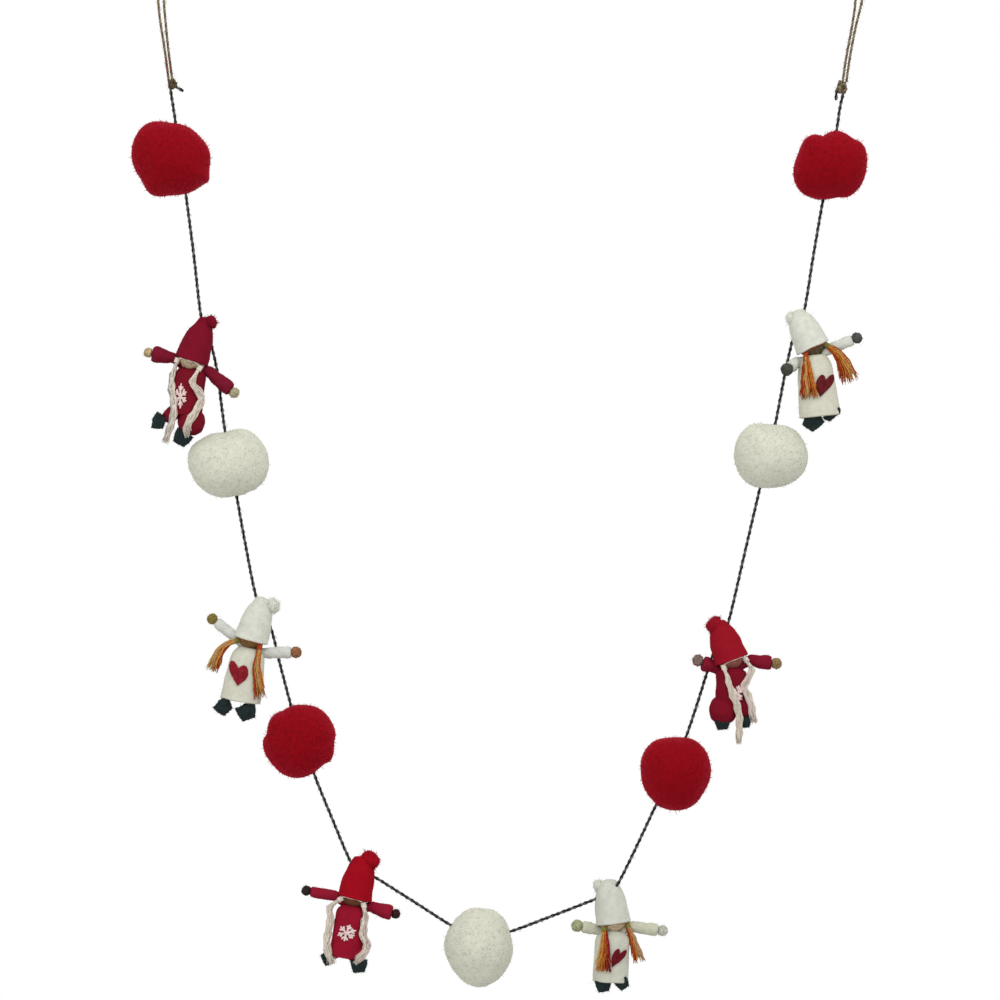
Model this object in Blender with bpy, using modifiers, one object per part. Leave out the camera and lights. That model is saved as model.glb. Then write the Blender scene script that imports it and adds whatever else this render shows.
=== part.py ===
"""Knitted Christmas garland: seven yarn pompoms and six small knitted gnome dolls threaded on one twisted
cord, which hangs in a deep V from two twine loops.

The origin is the top of the left loop. +X runs to the right loop, +Z is up and -Y is the front. The tables
and sizes are in millimetres and degrees, and MM turns them into metres where an object is made."""

import math
from collections import namedtuple

import bmesh
import bpy
from mathutils import Matrix, Vector

MM = 0.001
GAP = 0.4  # left between pieces that touch
MERGE = 0.01  # points this close are one
FRONT = -1.0  # the viewer's side along Y

# The cord and its twine loops
CORD_RADIUS = 1.3
TWINE_RADIUS = 1.0
TAIL_STEP = 7.0  # shorter steps of a route turn tightly, so they are divided
HANG_SPAN = 474.5  # from one loop's top to the other's

# A pompom's yarn stands on a core in locks, four-sided and domed
POMPOM_CORE = 0.84  # share of the pompom's radius
LOCK_TAPER = 0.09  # share of the radius that a lock narrows on each side
LOCK_DOME = 0.05  # share of the radius that a lock's middle rises

# A knot's slanting turn of twine, as shares of the knot's width and height
KNOT_TURN_REACH = 0.44
KNOT_TURN_SLANT = 0.16
KNOT_TURN_POINTS = 10

# A gnome's common sizes
HEAD_RADIUS = 9.5
HEAD_HEIGHT = 3.0  # of its centre over the brim
BRIM_RADIUS = 11.3
SHOULDER_DROP = 8.0  # of the sleeves' seam under the brim
SEAM_RADIUS = 3.0
SHOULDER_RADIUS = 3.5
SLEEVE_END = 0.6  # a sleeve's step in to the cuff
HEM_ROLL = 1.2  # a dress's edge turned under
DEPTH = 0.8  # of a stuffed body, as a share of its width
NECK_DROP = 5.5
LEG_SHAPE = ((0.0, 0.45), (0.12, 0.8), (0.35, 1.0), (0.65, 1.0), (0.9, 0.75), (1.0, 0.4))  # (along, radius)
ROOT_DROP = 2.8  # of the bunches' ties under the brim
ROOT_RADIUS = 1.9
ROOT_TURN = 60.0  # of each tie from the face's middle
HAIRLINE_RADIUS = 9.6
HAIR_CLEARANCE = 1.0
HAIRLINE_DROP = 1.2
HAIRLINE_THICKNESS = 0.7
TIE_WIDTH = 1.4  # that the locks leave the tie across
BOBBLE_TURN = 20
SHOE_DEPTH = 10.0
SHOE_SOLE = 0.62  # share of the top that the sole is
SHOE_BEVEL = 1.2
SHOE_MARGIN = 3.4  # round a shoe, where a lock still passes in front of it
HEART_THICKNESS = 2.4
HEART_POINTS = 22
HEART_STAND_OFF = 0.4

Pompom = namedtuple("Pompom", "x z width height turn colour")
POMPOMS = (
    Pompom(x=7.0, z=-135.3, width=53.0, height=53.0, turn=15, colour="red"),
    Pompom(x=45.6, z=-343.1, width=54.0, height=49.0, turn=40, colour="white"),
    Pompom(x=93.9, z=-531.8, width=49.5, height=50.0, turn=70, colour="red"),
    Pompom(x=216.3, z=-671.5, width=47.0, height=54.0, turn=5, colour="white"),
    Pompom(x=350.2, z=-553.2, width=47.0, height=49.5, turn=30, colour="red"),
    Pompom(x=414.3, z=-336.9, width=50.0, height=45.5, turn=55, colour="white"),
    Pompom(x=454.9, z=-139.4, width=50.0, height=45.5, turn=80, colour="red"),
)

# From the left tail to the right one: x, y, z
CORD_ROUTE = (
    (15.2, -0.8, -89.2),
    (11.4, -0.8, -87.0),
    (8.6, -0.6, -85.4),
    (6.5, 0.4, -87.6),
    (7.2, 0.4, -93.0),
    (9.7, 0.0, -109.3),
    (13.0, 0.0, -134.0),
    (16.9, 0.0, -159.8),
    (22.2, 0.0, -200.0),
    (27.2, -1.0, -241.8),
    (31.6, 2.0, -254.0),
    (35.2, 5.2, -267.0),
    (38.4, 6.4, -283.0),
    (40.6, 3.0, -300.0),
    (43.9, 0.0, -322.7),
    (47.5, 0.0, -343.0),
    (51.1, 0.0, -362.8),
    (57.5, 0.0, -398.0),
    (64.6, -1.0, -432.5),
    (70.5, 2.0, -445.0),
    (75.4, 5.0, -457.5),
    (79.6, 5.6, -474.9),
    (84.0, 2.0, -491.0),
    (89.0, 0.0, -509.0),
    (96.4, 0.0, -531.5),
    (104.3, 0.0, -554.1),
    (116.0, 0.0, -583.0),
    (129.0, -2.0, -613.0),
    (135.5, -1.6, -619.5),
    (144.2, -1.0, -622.9),
    (172.0, 0.0, -640.4),
    (200.6, 0.0, -658.2),
    (218.0, 0.0, -663.4),
    (236.1, 0.0, -661.0),
    (266.0, 0.0, -650.0),
    (295.6, 0.0, -638.5),
    (304.0, -2.4, -634.4),
    (309.6, -4.4, -629.4),
    (320.0, -2.4, -609.5),
    (336.6, 0.0, -574.5),
    (347.6, 0.0, -551.0),
    (356.7, 0.0, -529.0),
    (364.6, 3.6, -506.5),
    (371.0, 6.6, -486.6),
    (375.0, 6.8, -474.2),
    (381.0, 4.6, -461.0),
    (386.1, 1.0, -449.5),
    (396.5, 0.0, -405.0),
    (407.7, 0.0, -357.2),
    (412.7, 0.0, -337.0),
    (417.7, 0.0, -315.5),
    (421.4, 1.4, -297.0),
    (424.8, 3.6, -280.0),
    (429.2, 4.2, -260.4),
    (433.6, 2.0, -247.5),
    (437.8, 0.0, -236.4),
    (443.6, 0.0, -201.0),
    (450.4, 0.0, -161.7),
    (455.0, 0.0, -139.0),
    (459.4, 0.0, -115.9),
    (461.6, 0.3, -101.0),
    (463.4, 0.8, -93.0),
    (463.6, 0.4, -88.6),
    (461.4, -1.2, -86.2),
    (459.3, -1.8, -89.4),
    (458.9, -1.8, -95.4),
)
# From the knot up, over the top and back down: x from the loop's top, z
LEFT_LOOP = (
    (5.2, -81.6),
    (2.5, -61.0),
    (-0.5, -42.0),
    (-2.0, -27.0),
    (-2.8, -12.0),
    (-2.2, -3.0),
    (0.0, 0.0),
    (2.2, -3.0),
    (2.8, -12.0),
    (2.0, -27.0),
    (3.1, -42.0),
    (5.0, -61.0),
    (7.7, -81.6),
)
RIGHT_LOOP = (
    (-11.0, -83.0),
    (-8.5, -66.0),
    (-4.8, -46.0),
    (-2.2, -27.0),
    (-2.8, -12.0),
    (-2.2, -3.0),
    (0.0, 0.0),
    (2.2, -3.0),
    (2.8, -12.0),
    (2.2, -27.0),
    (-2.2, -46.0),
    (-6.0, -66.0),
    (-8.5, -83.0),
)

Knot = namedtuple("Knot", "name x z width height lean")
KNOTS = (
    Knot("knot_left", x=7.6, z=-84.7, width=7.0, height=9.6, lean=-12),
    Knot("knot_right", x=462.6, z=-87.3, width=8.2, height=11.0, lean=14),
)

# Places in a gnome's tables count from the middle of its hat's brim: x to the right, z up, y away from the
# viewer. A lean tips the top to the right, and a face turned to the right has a positive face_turn.
Arm = namedtuple("Arm", "shoulder hand sleeve cuff fist")  # the last three are radii
Leg = namedtuple("Leg", "hip ankle radius")
Shoe = namedtuple("Shoe", "x y z width height roll")
Bunch = namedtuple("Bunch", "route locks spread radius")  # the route's x and z under the tie
Heart = namedtuple("Heart", "x z width height lean tilt")  # tilt raises its right lobe
Gnome = namedtuple(
    "Gnome",
    "suit x y z hat_lean hat_height tip_radius bobble_x bobble_drop bobble_radius face_turn"
    " body_lean length chest hem left_arm right_arm legs shoes left_hair right_hair heart",
)
GNOMES = (
    Gnome(
        suit="red", x=20.8, y=-3.0, z=-272.7,
        hat_lean=19, hat_height=31.5, tip_radius=5.2, bobble_x=3.8, bobble_drop=2.2, bobble_radius=4.8,
        face_turn=-9, body_lean=5, length=37.0, chest=10.6, hem=10.2,
        left_arm=Arm((-11.6, 1.5, 1.6), (-29.2, 1.0, 5.6), sleeve=5.6, cuff=3.0, fist=3.3),
        right_arm=Arm((10.8, 1.5, -6.8), (29.2, -0.5, -21.6), sleeve=4.9, cuff=3.0, fist=3.6),
        legs=(
            Leg((-6.0, 0.0, -31.0), (-18.6, -1.0, -40.0), 4.8),
            Leg((1.0, 0.0, -33.0), (-1.0, -1.0, -50.0), 9.0),
        ),
        shoes=(Shoe(-21.8, -2.0, -41.2, 12.0, 8.0, -70), Shoe(-6.2, -1.0, -52.4, 13.2, 9.8, 32)),
        left_hair=Bunch(
            ((-13.3, -15.0), (-11.4, -34.7), (-17.3, -54.4)),
            locks=2, spread=3.2, radius=1.5,
        ),
        right_hair=Bunch(
            ((1.4, -15.0), (7.6, -26.0), (-1.8, -43.5), (-2.0, -50.3)),
            locks=2, spread=3.6, radius=1.4,
        ),
        heart=None,
    ),
    Gnome(
        suit="white", x=61.4, y=-3.0, z=-462.4,
        hat_lean=16, hat_height=30.5, tip_radius=6.4, bobble_x=7.6, bobble_drop=4.0, bobble_radius=5.2,
        face_turn=-11, body_lean=10, length=42.0, chest=11.2, hem=13.6,
        left_arm=Arm((-11.8, 1.5, 2.6), (-26.4, 1.0, 14.4), sleeve=3.7, cuff=3.4, fist=3.7),
        right_arm=Arm((10.5, 1.5, -8.8), (30.6, 0.0, -8.2), sleeve=4.0, cuff=3.6, fist=3.9),
        legs=(),
        shoes=(Shoe(-18.4, -2.0, -45.2, 12.8, 9.4, -38), Shoe(-2.8, -2.5, -48.8, 14.4, 10.2, -17)),
        left_hair=Bunch(
            ((-15.8, -2.4), (-21.4, -8.3), (-25.8, -19.6)),
            locks=4, spread=5.4, radius=1.25,
        ),
        right_hair=Bunch(
            ((4.2, -17.0), (5.0, -26.0), (7.2, -38.0)),
            locks=3, spread=4.8, radius=1.25,
        ),
        heart=Heart(-8.2, -23.0, 14.2, 15.2, lean=3, tilt=-20),
    ),
    Gnome(
        suit="red", x=131.6, y=-1.0, z=-637.6,
        hat_lean=13, hat_height=29.0, tip_radius=7.8, bobble_x=4.2, bobble_drop=1.9, bobble_radius=6.8,
        face_turn=-11, body_lean=9, length=41.0, chest=10.8, hem=10.8,
        left_arm=Arm((-12.8, 1.5, 0.8), (-32.8, 1.0, 4.8), sleeve=3.7, cuff=2.9, fist=3.4),
        right_arm=Arm((10.8, 1.5, -6.4), (28.0, 0.5, -11.0), sleeve=5.2, cuff=3.0, fist=3.2),
        legs=(
            Leg((-8.0, 0.5, -33.0), (-16.6, -0.5, -39.0), 4.8),
            Leg((1.0, 0.0, -33.0), (2.3, -0.5, -43.0), 6.6),
        ),
        shoes=(Shoe(-18.4, -1.0, -41.4, 8.0, 8.4, -14), Shoe(3.1, -2.5, -46.0, 12.0, 9.0, 0)),
        left_hair=Bunch(
            ((-17.0, -6.4), (-16.2, -13.9), (-18.8, -30.9), (-15.2, -43.6)),
            locks=2, spread=3.4, radius=1.5,
        ),
        right_hair=Bunch(
            ((7.6, -12.4), (6.0, -23.6), (8.8, -33.6), (1.6, -42.6)),
            locks=2, spread=3.6, radius=1.5,
        ),
        heart=None,
    ),
    Gnome(
        suit="white", x=307.6, y=1.0, z=-654.8,
        hat_lean=-8, hat_height=30.0, tip_radius=7.8, bobble_x=-6.2, bobble_drop=3.6, bobble_radius=4.2,
        face_turn=16, body_lean=3, length=40.0, chest=11.6, hem=12.0,
        left_arm=Arm((-11.6, 1.5, -4.6), (-24.7, 0.5, -2.1), sleeve=4.1, cuff=3.8, fist=4.1),
        right_arm=Arm((12.0, 1.5, -2.8), (33.6, 0.5, -5.4), sleeve=4.1, cuff=3.5, fist=3.7),
        legs=(),
        shoes=(Shoe(-6.9, -2.0, -42.4, 11.5, 8.4, -4), Shoe(6.2, -2.0, -41.0, 10.0, 7.6, -31)),
        left_hair=Bunch(
            ((-6.2, -16.0), (-7.4, -30.8)),
            locks=4, spread=7.8, radius=1.25,
        ),
        right_hair=Bunch(
            ((13.6, -12.0), (17.8, -25.0)),
            locks=3, spread=5.2, radius=1.25,
        ),
        heart=Heart(2.4, -23.2, 8.4, 13.6, lean=31, tilt=-12),
    ),
    Gnome(
        suit="red", x=387.6, y=-3.0, z=-475.8,
        hat_lean=-19, hat_height=28.6, tip_radius=6.4, bobble_x=-2.8, bobble_drop=2.6, bobble_radius=6.0,
        face_turn=16, body_lean=1, length=32.0, chest=10.2, hem=10.0,
        left_arm=Arm((-10.6, 1.5, -5.8), (-22.6, 0.5, -0.4), sleeve=5.2, cuff=3.6, fist=4.0),
        right_arm=Arm((12.8, 1.5, -0.6), (30.6, 0.5, -2.4), sleeve=4.9, cuff=3.4, fist=3.9),
        legs=(
            Leg((-4.5, 0.0, -25.0), (-6.5, -1.0, -43.0), 9.2),
            Leg((5.4, 1.0, -24.0), (10.6, 0.0, -40.0), 6.4),
        ),
        shoes=(Shoe(-6.1, -2.0, -43.8, 10.5, 7.0, 0), Shoe(9.8, -1.5, -42.4, 7.6, 7.2, 4)),
        left_hair=Bunch(
            ((-2.4, -14.0), (-0.2, -21.5), (3.8, -32.0), (5.0, -41.0), (4.8, -55.0)),
            locks=2, spread=3.0, radius=1.5,
        ),
        right_hair=Bunch(
            ((13.8, -7.4), (8.6, -18.0), (12.4, -27.0), (15.4, -41.5)),
            locks=2, spread=3.4, radius=1.5,
        ),
        heart=None,
    ),
    Gnome(
        suit="white", x=443.0, y=-3.0, z=-263.6,
        hat_lean=-25, hat_height=28.0, tip_radius=6.8, bobble_x=-4.4, bobble_drop=4.0, bobble_radius=4.7,
        face_turn=13, body_lean=-6, length=47.0, chest=11.4, hem=13.8,
        left_arm=Arm((-10.4, 0.5, -10.0), (-18.2, -9.0, -15.2), sleeve=4.0, cuff=3.8, fist=4.2),
        right_arm=Arm((11.6, 1.5, -1.2), (29.9, 0.0, 6.5), sleeve=3.8, cuff=3.5, fist=3.8),
        legs=(),
        shoes=(Shoe(-0.4, -2.0, -50.4, 13.8, 11.4, 38), Shoe(13.4, -1.0, -45.2, 14.0, 6.4, -32)),
        left_hair=Bunch(
            ((-4.6, -17.0), (-3.4, -34.0)),
            locks=4, spread=8.2, radius=1.25,
        ),
        right_hair=Bunch(
            ((16.8, -4.4), (21.2, -12.0), (25.0, -22.4)),
            locks=4, spread=9.8, radius=1.25,
        ),
        heart=Heart(7.6, -25.6, 12.0, 14.8, lean=19, tilt=3),
    ),
)

# Each material's sRGB colour
COLOURS = {
    "red": (0.60, 0.03, 0.09),
    "white": (0.84, 0.85, 0.80),
    "cord": (0.13, 0.13, 0.13),
    "twine": (0.50, 0.44, 0.32),
    "face": (0.46, 0.36, 0.27),
    "cream": (0.86, 0.84, 0.77),
    "ginger": (0.76, 0.42, 0.18),
    "shoe": (0.11, 0.17, 0.17),
}


def clear_scene():
    for old in list(bpy.data.objects):
        bpy.data.objects.remove(old, do_unlink=True)


def collection(name):
    made = bpy.data.collections.new(name)
    bpy.context.scene.collection.children.link(made)
    return made


def linear(channel):
    return channel / 12.92 if channel <= 0.04045 else ((channel + 0.055) / 1.055) ** 2.4


def material(name, colour):
    """A matt yarn or felt. colour is a key of COLOURS."""
    made = bpy.data.materials.new(name)
    made.use_nodes = True
    shader = made.node_tree.nodes["Principled BSDF"]
    shader.inputs["Base Color"].default_value = (*map(linear, COLOURS[colour]), 1.0)
    shader.inputs["Roughness"].default_value = 0.9
    shader.inputs["Metallic"].default_value = 0.0
    return made


def place(name, data, colour, parent=None):
    """A sub-part, or with no colour a cutter."""
    made = bpy.data.objects.new(name, data)
    (PARTS if colour else CUTTERS).objects.link(made)
    made.parent = parent
    if colour:
        data.materials.append(material(name, colour))
    else:
        made.hide_render = True
        made.display_type = "WIRE"
    return made


def through(a, b, c, d, t):
    """A Catmull-Rom curve's place between b and c."""
    return 0.5 * (2 * b + (c - a) * t + (2 * a - 5 * b + 4 * c - d) * t**2 + (3 * b - a - 3 * c + d) * t**3)


def smooth_route(points, steps):
    """Points along a smooth curve through the given ones. steps gives an interval of a length its count."""
    points = [Vector(p) for p in points]
    ends = [2 * points[0] - points[1], *points, 2 * points[-1] - points[-2]]
    route = [points[0]]
    for a, b, c, d in zip(ends, ends[1:], ends[2:], ends[3:]):
        count = steps((c - b).length)
        route += [through(a, b, c, d, i / count) for i in range(1, count + 1)]
    return route


def evenly(route, count):
    """count points at even steps along a route."""
    along = [0.0]
    for before, after in zip(route, route[1:]):
        along.append(along[-1] + (after - before).length)
    even, at = [], 0
    for i in range(count):
        want = along[-1] * i / (count - 1)
        while at < len(route) - 2 and along[at + 1] < want:
            at += 1
        even.append(route[at].lerp(route[at + 1], (want - along[at]) / (along[at + 1] - along[at])))
    return even


def tube_curve(name, points, radii, sides=8):
    """A round tube with capped ends. radii is one number or one for each point."""
    widest = radii if isinstance(radii, float) else max(radii)
    curve = bpy.data.curves.new(name, "CURVE")
    curve.dimensions = "3D"
    curve.bevel_depth = widest * MM
    curve.bevel_resolution = sides // 2 - 2
    curve.use_fill_caps = True
    curve.render_resolution_u = 0
    spline = curve.splines.new("POLY")
    spline.points.add(len(points) - 1)
    for i, (knot, point) in enumerate(zip(spline.points, points)):
        knot.co = (*(Vector(point) * MM), 1.0)
        knot.radius = 1.0 if isinstance(radii, float) else radii[i] / widest
    return curve


def closed_mesh(name, curve):
    """A curve's surface as a mesh, with the doubled points along its seams merged."""
    guide = bpy.data.objects.new(name, curve)
    CUTTERS.objects.link(guide)
    bpy.context.view_layer.update()
    mesh = bpy.data.meshes.new_from_object(guide.evaluated_get(bpy.context.evaluated_depsgraph_get()))
    bpy.data.objects.remove(guide, do_unlink=True)
    shape = bmesh.new()
    shape.from_mesh(mesh)
    bmesh.ops.remove_doubles(shape, verts=shape.verts, dist=MERGE * MM)
    bmesh.ops.recalc_face_normals(shape, faces=shape.faces)
    shape.to_mesh(mesh)
    shape.free()
    mesh.materials.clear()
    return mesh


def tube_mesh(name, points, radii, colour=None, parent=None, sides=8):
    """The same tube as a closed mesh object, which can be cut or joined."""
    mesh = closed_mesh(name, tube_curve(name, points, radii, sides))
    mesh.shade_smooth()
    return place(name, mesh, colour, parent)


def turned(name, profile, colour, parent, steps=12):
    """A stuffed round shape: profile is (radius, z) from its top to its bottom, both ends on the axis."""
    mesh = bpy.data.meshes.new(name)
    shape = bmesh.new()
    verts = [shape.verts.new((radius * MM, 0.0, z * MM)) for radius, z in profile]
    for upper, lower in zip(verts, verts[1:]):
        shape.edges.new((upper, lower))
    shape.to_mesh(mesh)
    shape.free()
    made = place(name, mesh, colour, parent)
    screw = made.modifiers.new("Turn", "SCREW")
    screw.steps = steps
    screw.render_steps = steps
    screw.use_merge_vertices = True
    screw.merge_threshold = MERGE * MM
    return made


def ball(name, radius, centre, colour=None, parent=None, segments=10, rings=7):
    mesh = bpy.data.meshes.new(name)
    shape = bmesh.new()
    at = Matrix.Translation(Vector(centre) * MM)
    bmesh.ops.create_uvsphere(shape, u_segments=segments, v_segments=rings, radius=radius * MM, matrix=at)
    shape.to_mesh(mesh)
    shape.free()
    mesh.shade_smooth()
    return place(name, mesh, colour, parent)


def boolean(piece, tool, operation):
    modifier = piece.modifiers.new(operation.title(), "BOOLEAN")
    modifier.operation = operation
    modifier.object = tool
    modifier.solver = "EXACT"
    modifier.use_self = True


def fatter(piece):
    """A cutter of a piece's evaluated shape, grown by the gap."""
    bpy.context.view_layer.update()
    seen = piece.evaluated_get(bpy.context.evaluated_depsgraph_get())
    mesh = bpy.data.meshes.new_from_object(seen)
    mesh.materials.clear()
    shape = bmesh.new()
    shape.from_mesh(mesh)
    bmesh.ops.remove_doubles(shape, verts=shape.verts, dist=MERGE * MM)
    shape.normal_update()
    for vert in shape.verts:
        vert.co += vert.normal * GAP * MM
    shape.to_mesh(mesh)
    shape.free()
    cutter = place(piece.name + "_room", mesh, None)
    cutter.matrix_world = piece.matrix_world
    return cutter


def yarn_ball(name, size, turn, cuts, colour=None, parent=None):
    """A ball of locks, as wide, deep and high as size. Each face of a rounded cube becomes a lock, and its
    root meets its neighbours' roots."""
    mesh = bpy.data.meshes.new(name)
    shape = bmesh.new()
    bmesh.ops.create_cube(shape, size=1.0)
    if cuts:
        bmesh.ops.subdivide_edges(shape, edges=shape.edges, cuts=cuts, use_grid_fill=True)
    for vert in shape.verts:
        vert.co = vert.co.normalized() * POMPOM_CORE
    tops = shape.faces[:]
    bmesh.ops.inset_individual(shape, faces=tops, thickness=LOCK_TAPER, use_even_offset=True)
    for face in tops:
        for vert in face.verts:
            vert.co = vert.co.normalized() * (1 - LOCK_DOME)
    domed = bmesh.ops.poke(shape, faces=tops)
    for vert in domed["verts"]:
        vert.co.normalize()
    bmesh.ops.recalc_face_normals(shape, faces=shape.faces)
    shape.transform(Matrix.Rotation(math.radians(turn), 4, (1, 1, 1)))
    for axis, wanted in enumerate(size):
        reach = max(vert.co[axis] for vert in shape.verts)
        for vert in shape.verts:
            vert.co[axis] *= wanted / 2 / reach * MM
    shape.to_mesh(mesh)
    shape.free()
    return place(name, mesh, colour, parent)


def steps_of(length):
    return 2 if length < TAIL_STEP else 1


def make_cord():
    route = smooth_route(CORD_ROUTE, steps_of)
    place("cord", tube_curve("cord", route, CORD_RADIUS), "cord")
    return tube_mesh("cord_room", route, CORD_RADIUS + GAP)


def make_loops():
    rooms = []
    for name, top, shape in (("loop_left", 0.0, LEFT_LOOP), ("loop_right", HANG_SPAN, RIGHT_LOOP)):
        route = smooth_route([(top + x, 0.0, z) for x, z in shape], steps_of)
        place(name, tube_curve(name, route, TWINE_RADIUS), "twine")
        rooms.append(tube_mesh(name + "_room", route, TWINE_RADIUS + GAP))
    return rooms


def make_knots(cord_room, loop_rooms):
    """A pulled-tight lump of twine with one slanting turn round it."""
    for knot, loop_room in zip(KNOTS, loop_rooms):
        lump = ball(knot.name, 0.5, (0, 0, 0), "twine", segments=8, rings=6)
        lump.data.transform(Matrix.Diagonal((knot.width, knot.width, knot.height, 1.0)))
        lump.location = Vector((knot.x, 0.0, knot.z)) * MM
        lump.rotation_euler.y = math.radians(knot.lean)
        turn = []
        for i in range(KNOT_TURN_POINTS):
            angle = math.tau * i / KNOT_TURN_POINTS
            reach = KNOT_TURN_REACH * knot.width
            slant = KNOT_TURN_SLANT * knot.height
            turn.append((reach * math.cos(angle), reach * math.sin(angle), slant * math.cos(angle)))
        wrap = tube_mesh(knot.name + "_turn", turn, TWINE_RADIUS, sides=4)
        wrap.location = lump.location
        boolean(lump, wrap, "UNION")
        boolean(lump, cord_room, "DIFFERENCE")
        boolean(lump, loop_room, "DIFFERENCE")


def make_pompoms(cord_room):
    for number, pompom in enumerate(POMPOMS, 1):
        size = (pompom.width, pompom.width, pompom.height)
        yarn = yarn_ball(f"pompom_{number}", size, pompom.turn, 1, pompom.colour)
        yarn.location = Vector((pompom.x, 0.0, pompom.z)) * MM
        boolean(yarn, cord_room, "DIFFERENCE")


def make_arms(name, gnome, base):
    """One knitted tube from hand to hand, through the seam in the shoulders."""
    points, radii = [], []
    for arm, order in ((gnome.left_arm, -1), (gnome.right_arm, 1)):
        shoulder, hand = Vector(arm.shoulder), Vector(arm.hand)
        along = (hand - shoulder).normalized()
        reach = (hand - shoulder).length
        cuff = reach - arm.fist
        side = [
            (shoulder, SHOULDER_RADIUS),
            (shoulder + along * 0.7 * cuff, arm.sleeve),
            (shoulder + along * (cuff - SLEEVE_END), 0.92 * arm.sleeve),
            (shoulder + along * cuff, arm.cuff),
            (hand, arm.fist),
            (hand + along * 0.8 * arm.fist, 0.55 * arm.fist),
        ][::order]
        points += [p for p, _ in side]
        radii += [r for _, r in side]
        if order == -1:
            points.append(Vector((0.0, 1.5, -SHOULDER_DROP)))
            radii.append(SEAM_RADIUS)
    return tube_mesh(name + "_arms", points, radii, gnome.suit, base)


def body_profile(gnome):
    """A dress or a tunic from its neck to its hem, as (radius, z) under the brim."""
    hem, length = gnome.hem, gnome.length
    return (
        (0.0, -NECK_DROP),
        (5.6, -NECK_DROP - 0.3),
        (8.0, -NECK_DROP - 2.8),
        (gnome.chest, -0.28 * length),
        (0.4 * gnome.chest + 0.6 * hem, -0.56 * length),
        (hem, -0.94 * length),
        (hem - HEM_ROLL, -length),
        (0.0, -length + 0.4),
    )


def leg_points(leg):
    """A stuffed trouser leg: its points and their radii, drawn in at both ends."""
    hip, ankle = Vector(leg.hip), Vector(leg.ankle)
    return [(hip.lerp(ankle, along), leg.radius * share) for along, share in LEG_SHAPE]


def make_body(name, gnome, base):
    body = turned(name + "_body", body_profile(gnome), gnome.suit, base)
    body.scale.y = DEPTH
    body.rotation_euler.y = math.radians(gnome.body_lean)
    for number, leg in enumerate(gnome.legs):
        points, radii = zip(*leg_points(leg))
        tube = tube_mesh(f"{name}_leg_{number}", points, radii, parent=base)
        boolean(body, tube, "UNION")
    return body


def make_hat(name, gnome, base, cord_room):
    """A knitted cone with a blunt tip, and the bobble sewn to it."""
    height, tip = gnome.hat_height, gnome.tip_radius
    profile = (
        (0.0, height),
        (0.8 * tip, height - 1.4),
        (tip, height - 4.0),
        (0.5 * tip + 0.5 * BRIM_RADIUS, 0.62 * height),
        (0.1 * tip + 0.9 * BRIM_RADIUS, 0.38 * height),
        (BRIM_RADIUS, 0.0),
        (0.0, 0.0),
    )
    hat = turned(name + "_hat", profile, gnome.suit, base)
    hat.rotation_euler.y = math.radians(gnome.hat_lean)
    bobble = yarn_ball(name + "_bobble", (2 * gnome.bobble_radius,) * 3, BOBBLE_TURN, 0, parent=base)
    centre = Vector((gnome.bobble_x, 0.0, height - gnome.bobble_drop))
    bobble.data.transform(Matrix.Translation(centre * MM))
    bobble.rotation_euler.y = hat.rotation_euler.y
    boolean(hat, bobble, "UNION")
    boolean(hat, cord_room, "DIFFERENCE")
    return hat


def make_head(name, gnome, base):
    head = ball(name + "_head", HEAD_RADIUS, (0, 0, HEAD_HEIGHT), "face", base)
    head.rotation_euler.y = math.radians(gnome.hat_lean)
    return head


def front_of(gnome, x, z):
    """How far forward the body, legs and shoes reach at a place: y, negative to the front."""
    lean = math.radians(gnome.body_lean)
    across = x * math.cos(lean) - z * math.sin(lean)
    up = x * math.sin(lean) + z * math.cos(lean)
    reach = 0.0
    profile = body_profile(gnome)
    for (upper, top), (lower, bottom) in zip(profile, profile[1:]):
        if bottom <= up <= top:
            radius = upper + (lower - upper) * (top - up) / (top - bottom)
            if abs(across) < radius:
                reach = max(reach, DEPTH * math.sqrt(radius**2 - across**2))
    for leg in gnome.legs:
        for point, radius in leg_points(leg):
            off = math.hypot(x - point.x, z - point.z)
            if off < radius:
                reach = max(reach, math.sqrt(radius**2 - off**2) - point.y)
    for shoe in gnome.shoes:
        if math.hypot(x - shoe.x, z - shoe.z) < max(shoe.width, shoe.height) / 2 + SHOE_MARGIN:
            reach = max(reach, SHOE_DEPTH / 2 - shoe.y)
    return FRONT * reach


def under_brim(gnome, turn, drop):
    """A place on the hairline, which leans with the hat. turn is in degrees from the face's middle."""
    turn = math.radians(gnome.face_turn + turn)
    level = Vector((HAIRLINE_RADIUS * math.sin(turn), FRONT * HAIRLINE_RADIUS * math.cos(turn), -drop))
    return Matrix.Rotation(math.radians(gnome.hat_lean), 3, "Y") @ level


def make_hairline(name, gnome, colour, base):
    """The band of hair under the brim. It sinks towards the tie at each end."""
    line = []
    for share in (-1.0, -2 / 3, -1 / 3, 0.0, 1 / 3, 2 / 3, 1.0):
        drop = HAIRLINE_DROP + (ROOT_DROP - HAIRLINE_DROP) * abs(share) ** 3
        line.append(under_brim(gnome, ROOT_TURN * share, drop))
    return tube_mesh(name + "_hair", line, HAIRLINE_THICKNESS, colour, base, sides=4)


def lock_points(gnome, bunch, tie, fan):
    """One lock of a bunch. fan is from -0.5 to 0.5 across it."""
    middle = evenly(smooth_route([tie, *((x, tie.y, z) for x, z in bunch.route)], lambda length: 8), 6)
    points = [tie + Vector((fan * TIE_WIDTH, 0.0, -0.6))]
    for i, (before, point) in enumerate(zip(middle, middle[1:]), 1):
        along = (point - before).normalized()
        spread = fan * bunch.spread * min(1.0, 0.5 + i / 5)
        x, z = point.x - along.z * spread, point.z + along.x * spread
        y = min(front_of(gnome, x, z), tie.y + bunch.radius) - bunch.radius - HAIR_CLEARANCE
        points.append(Vector((x, y, z)))
    return points


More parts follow.
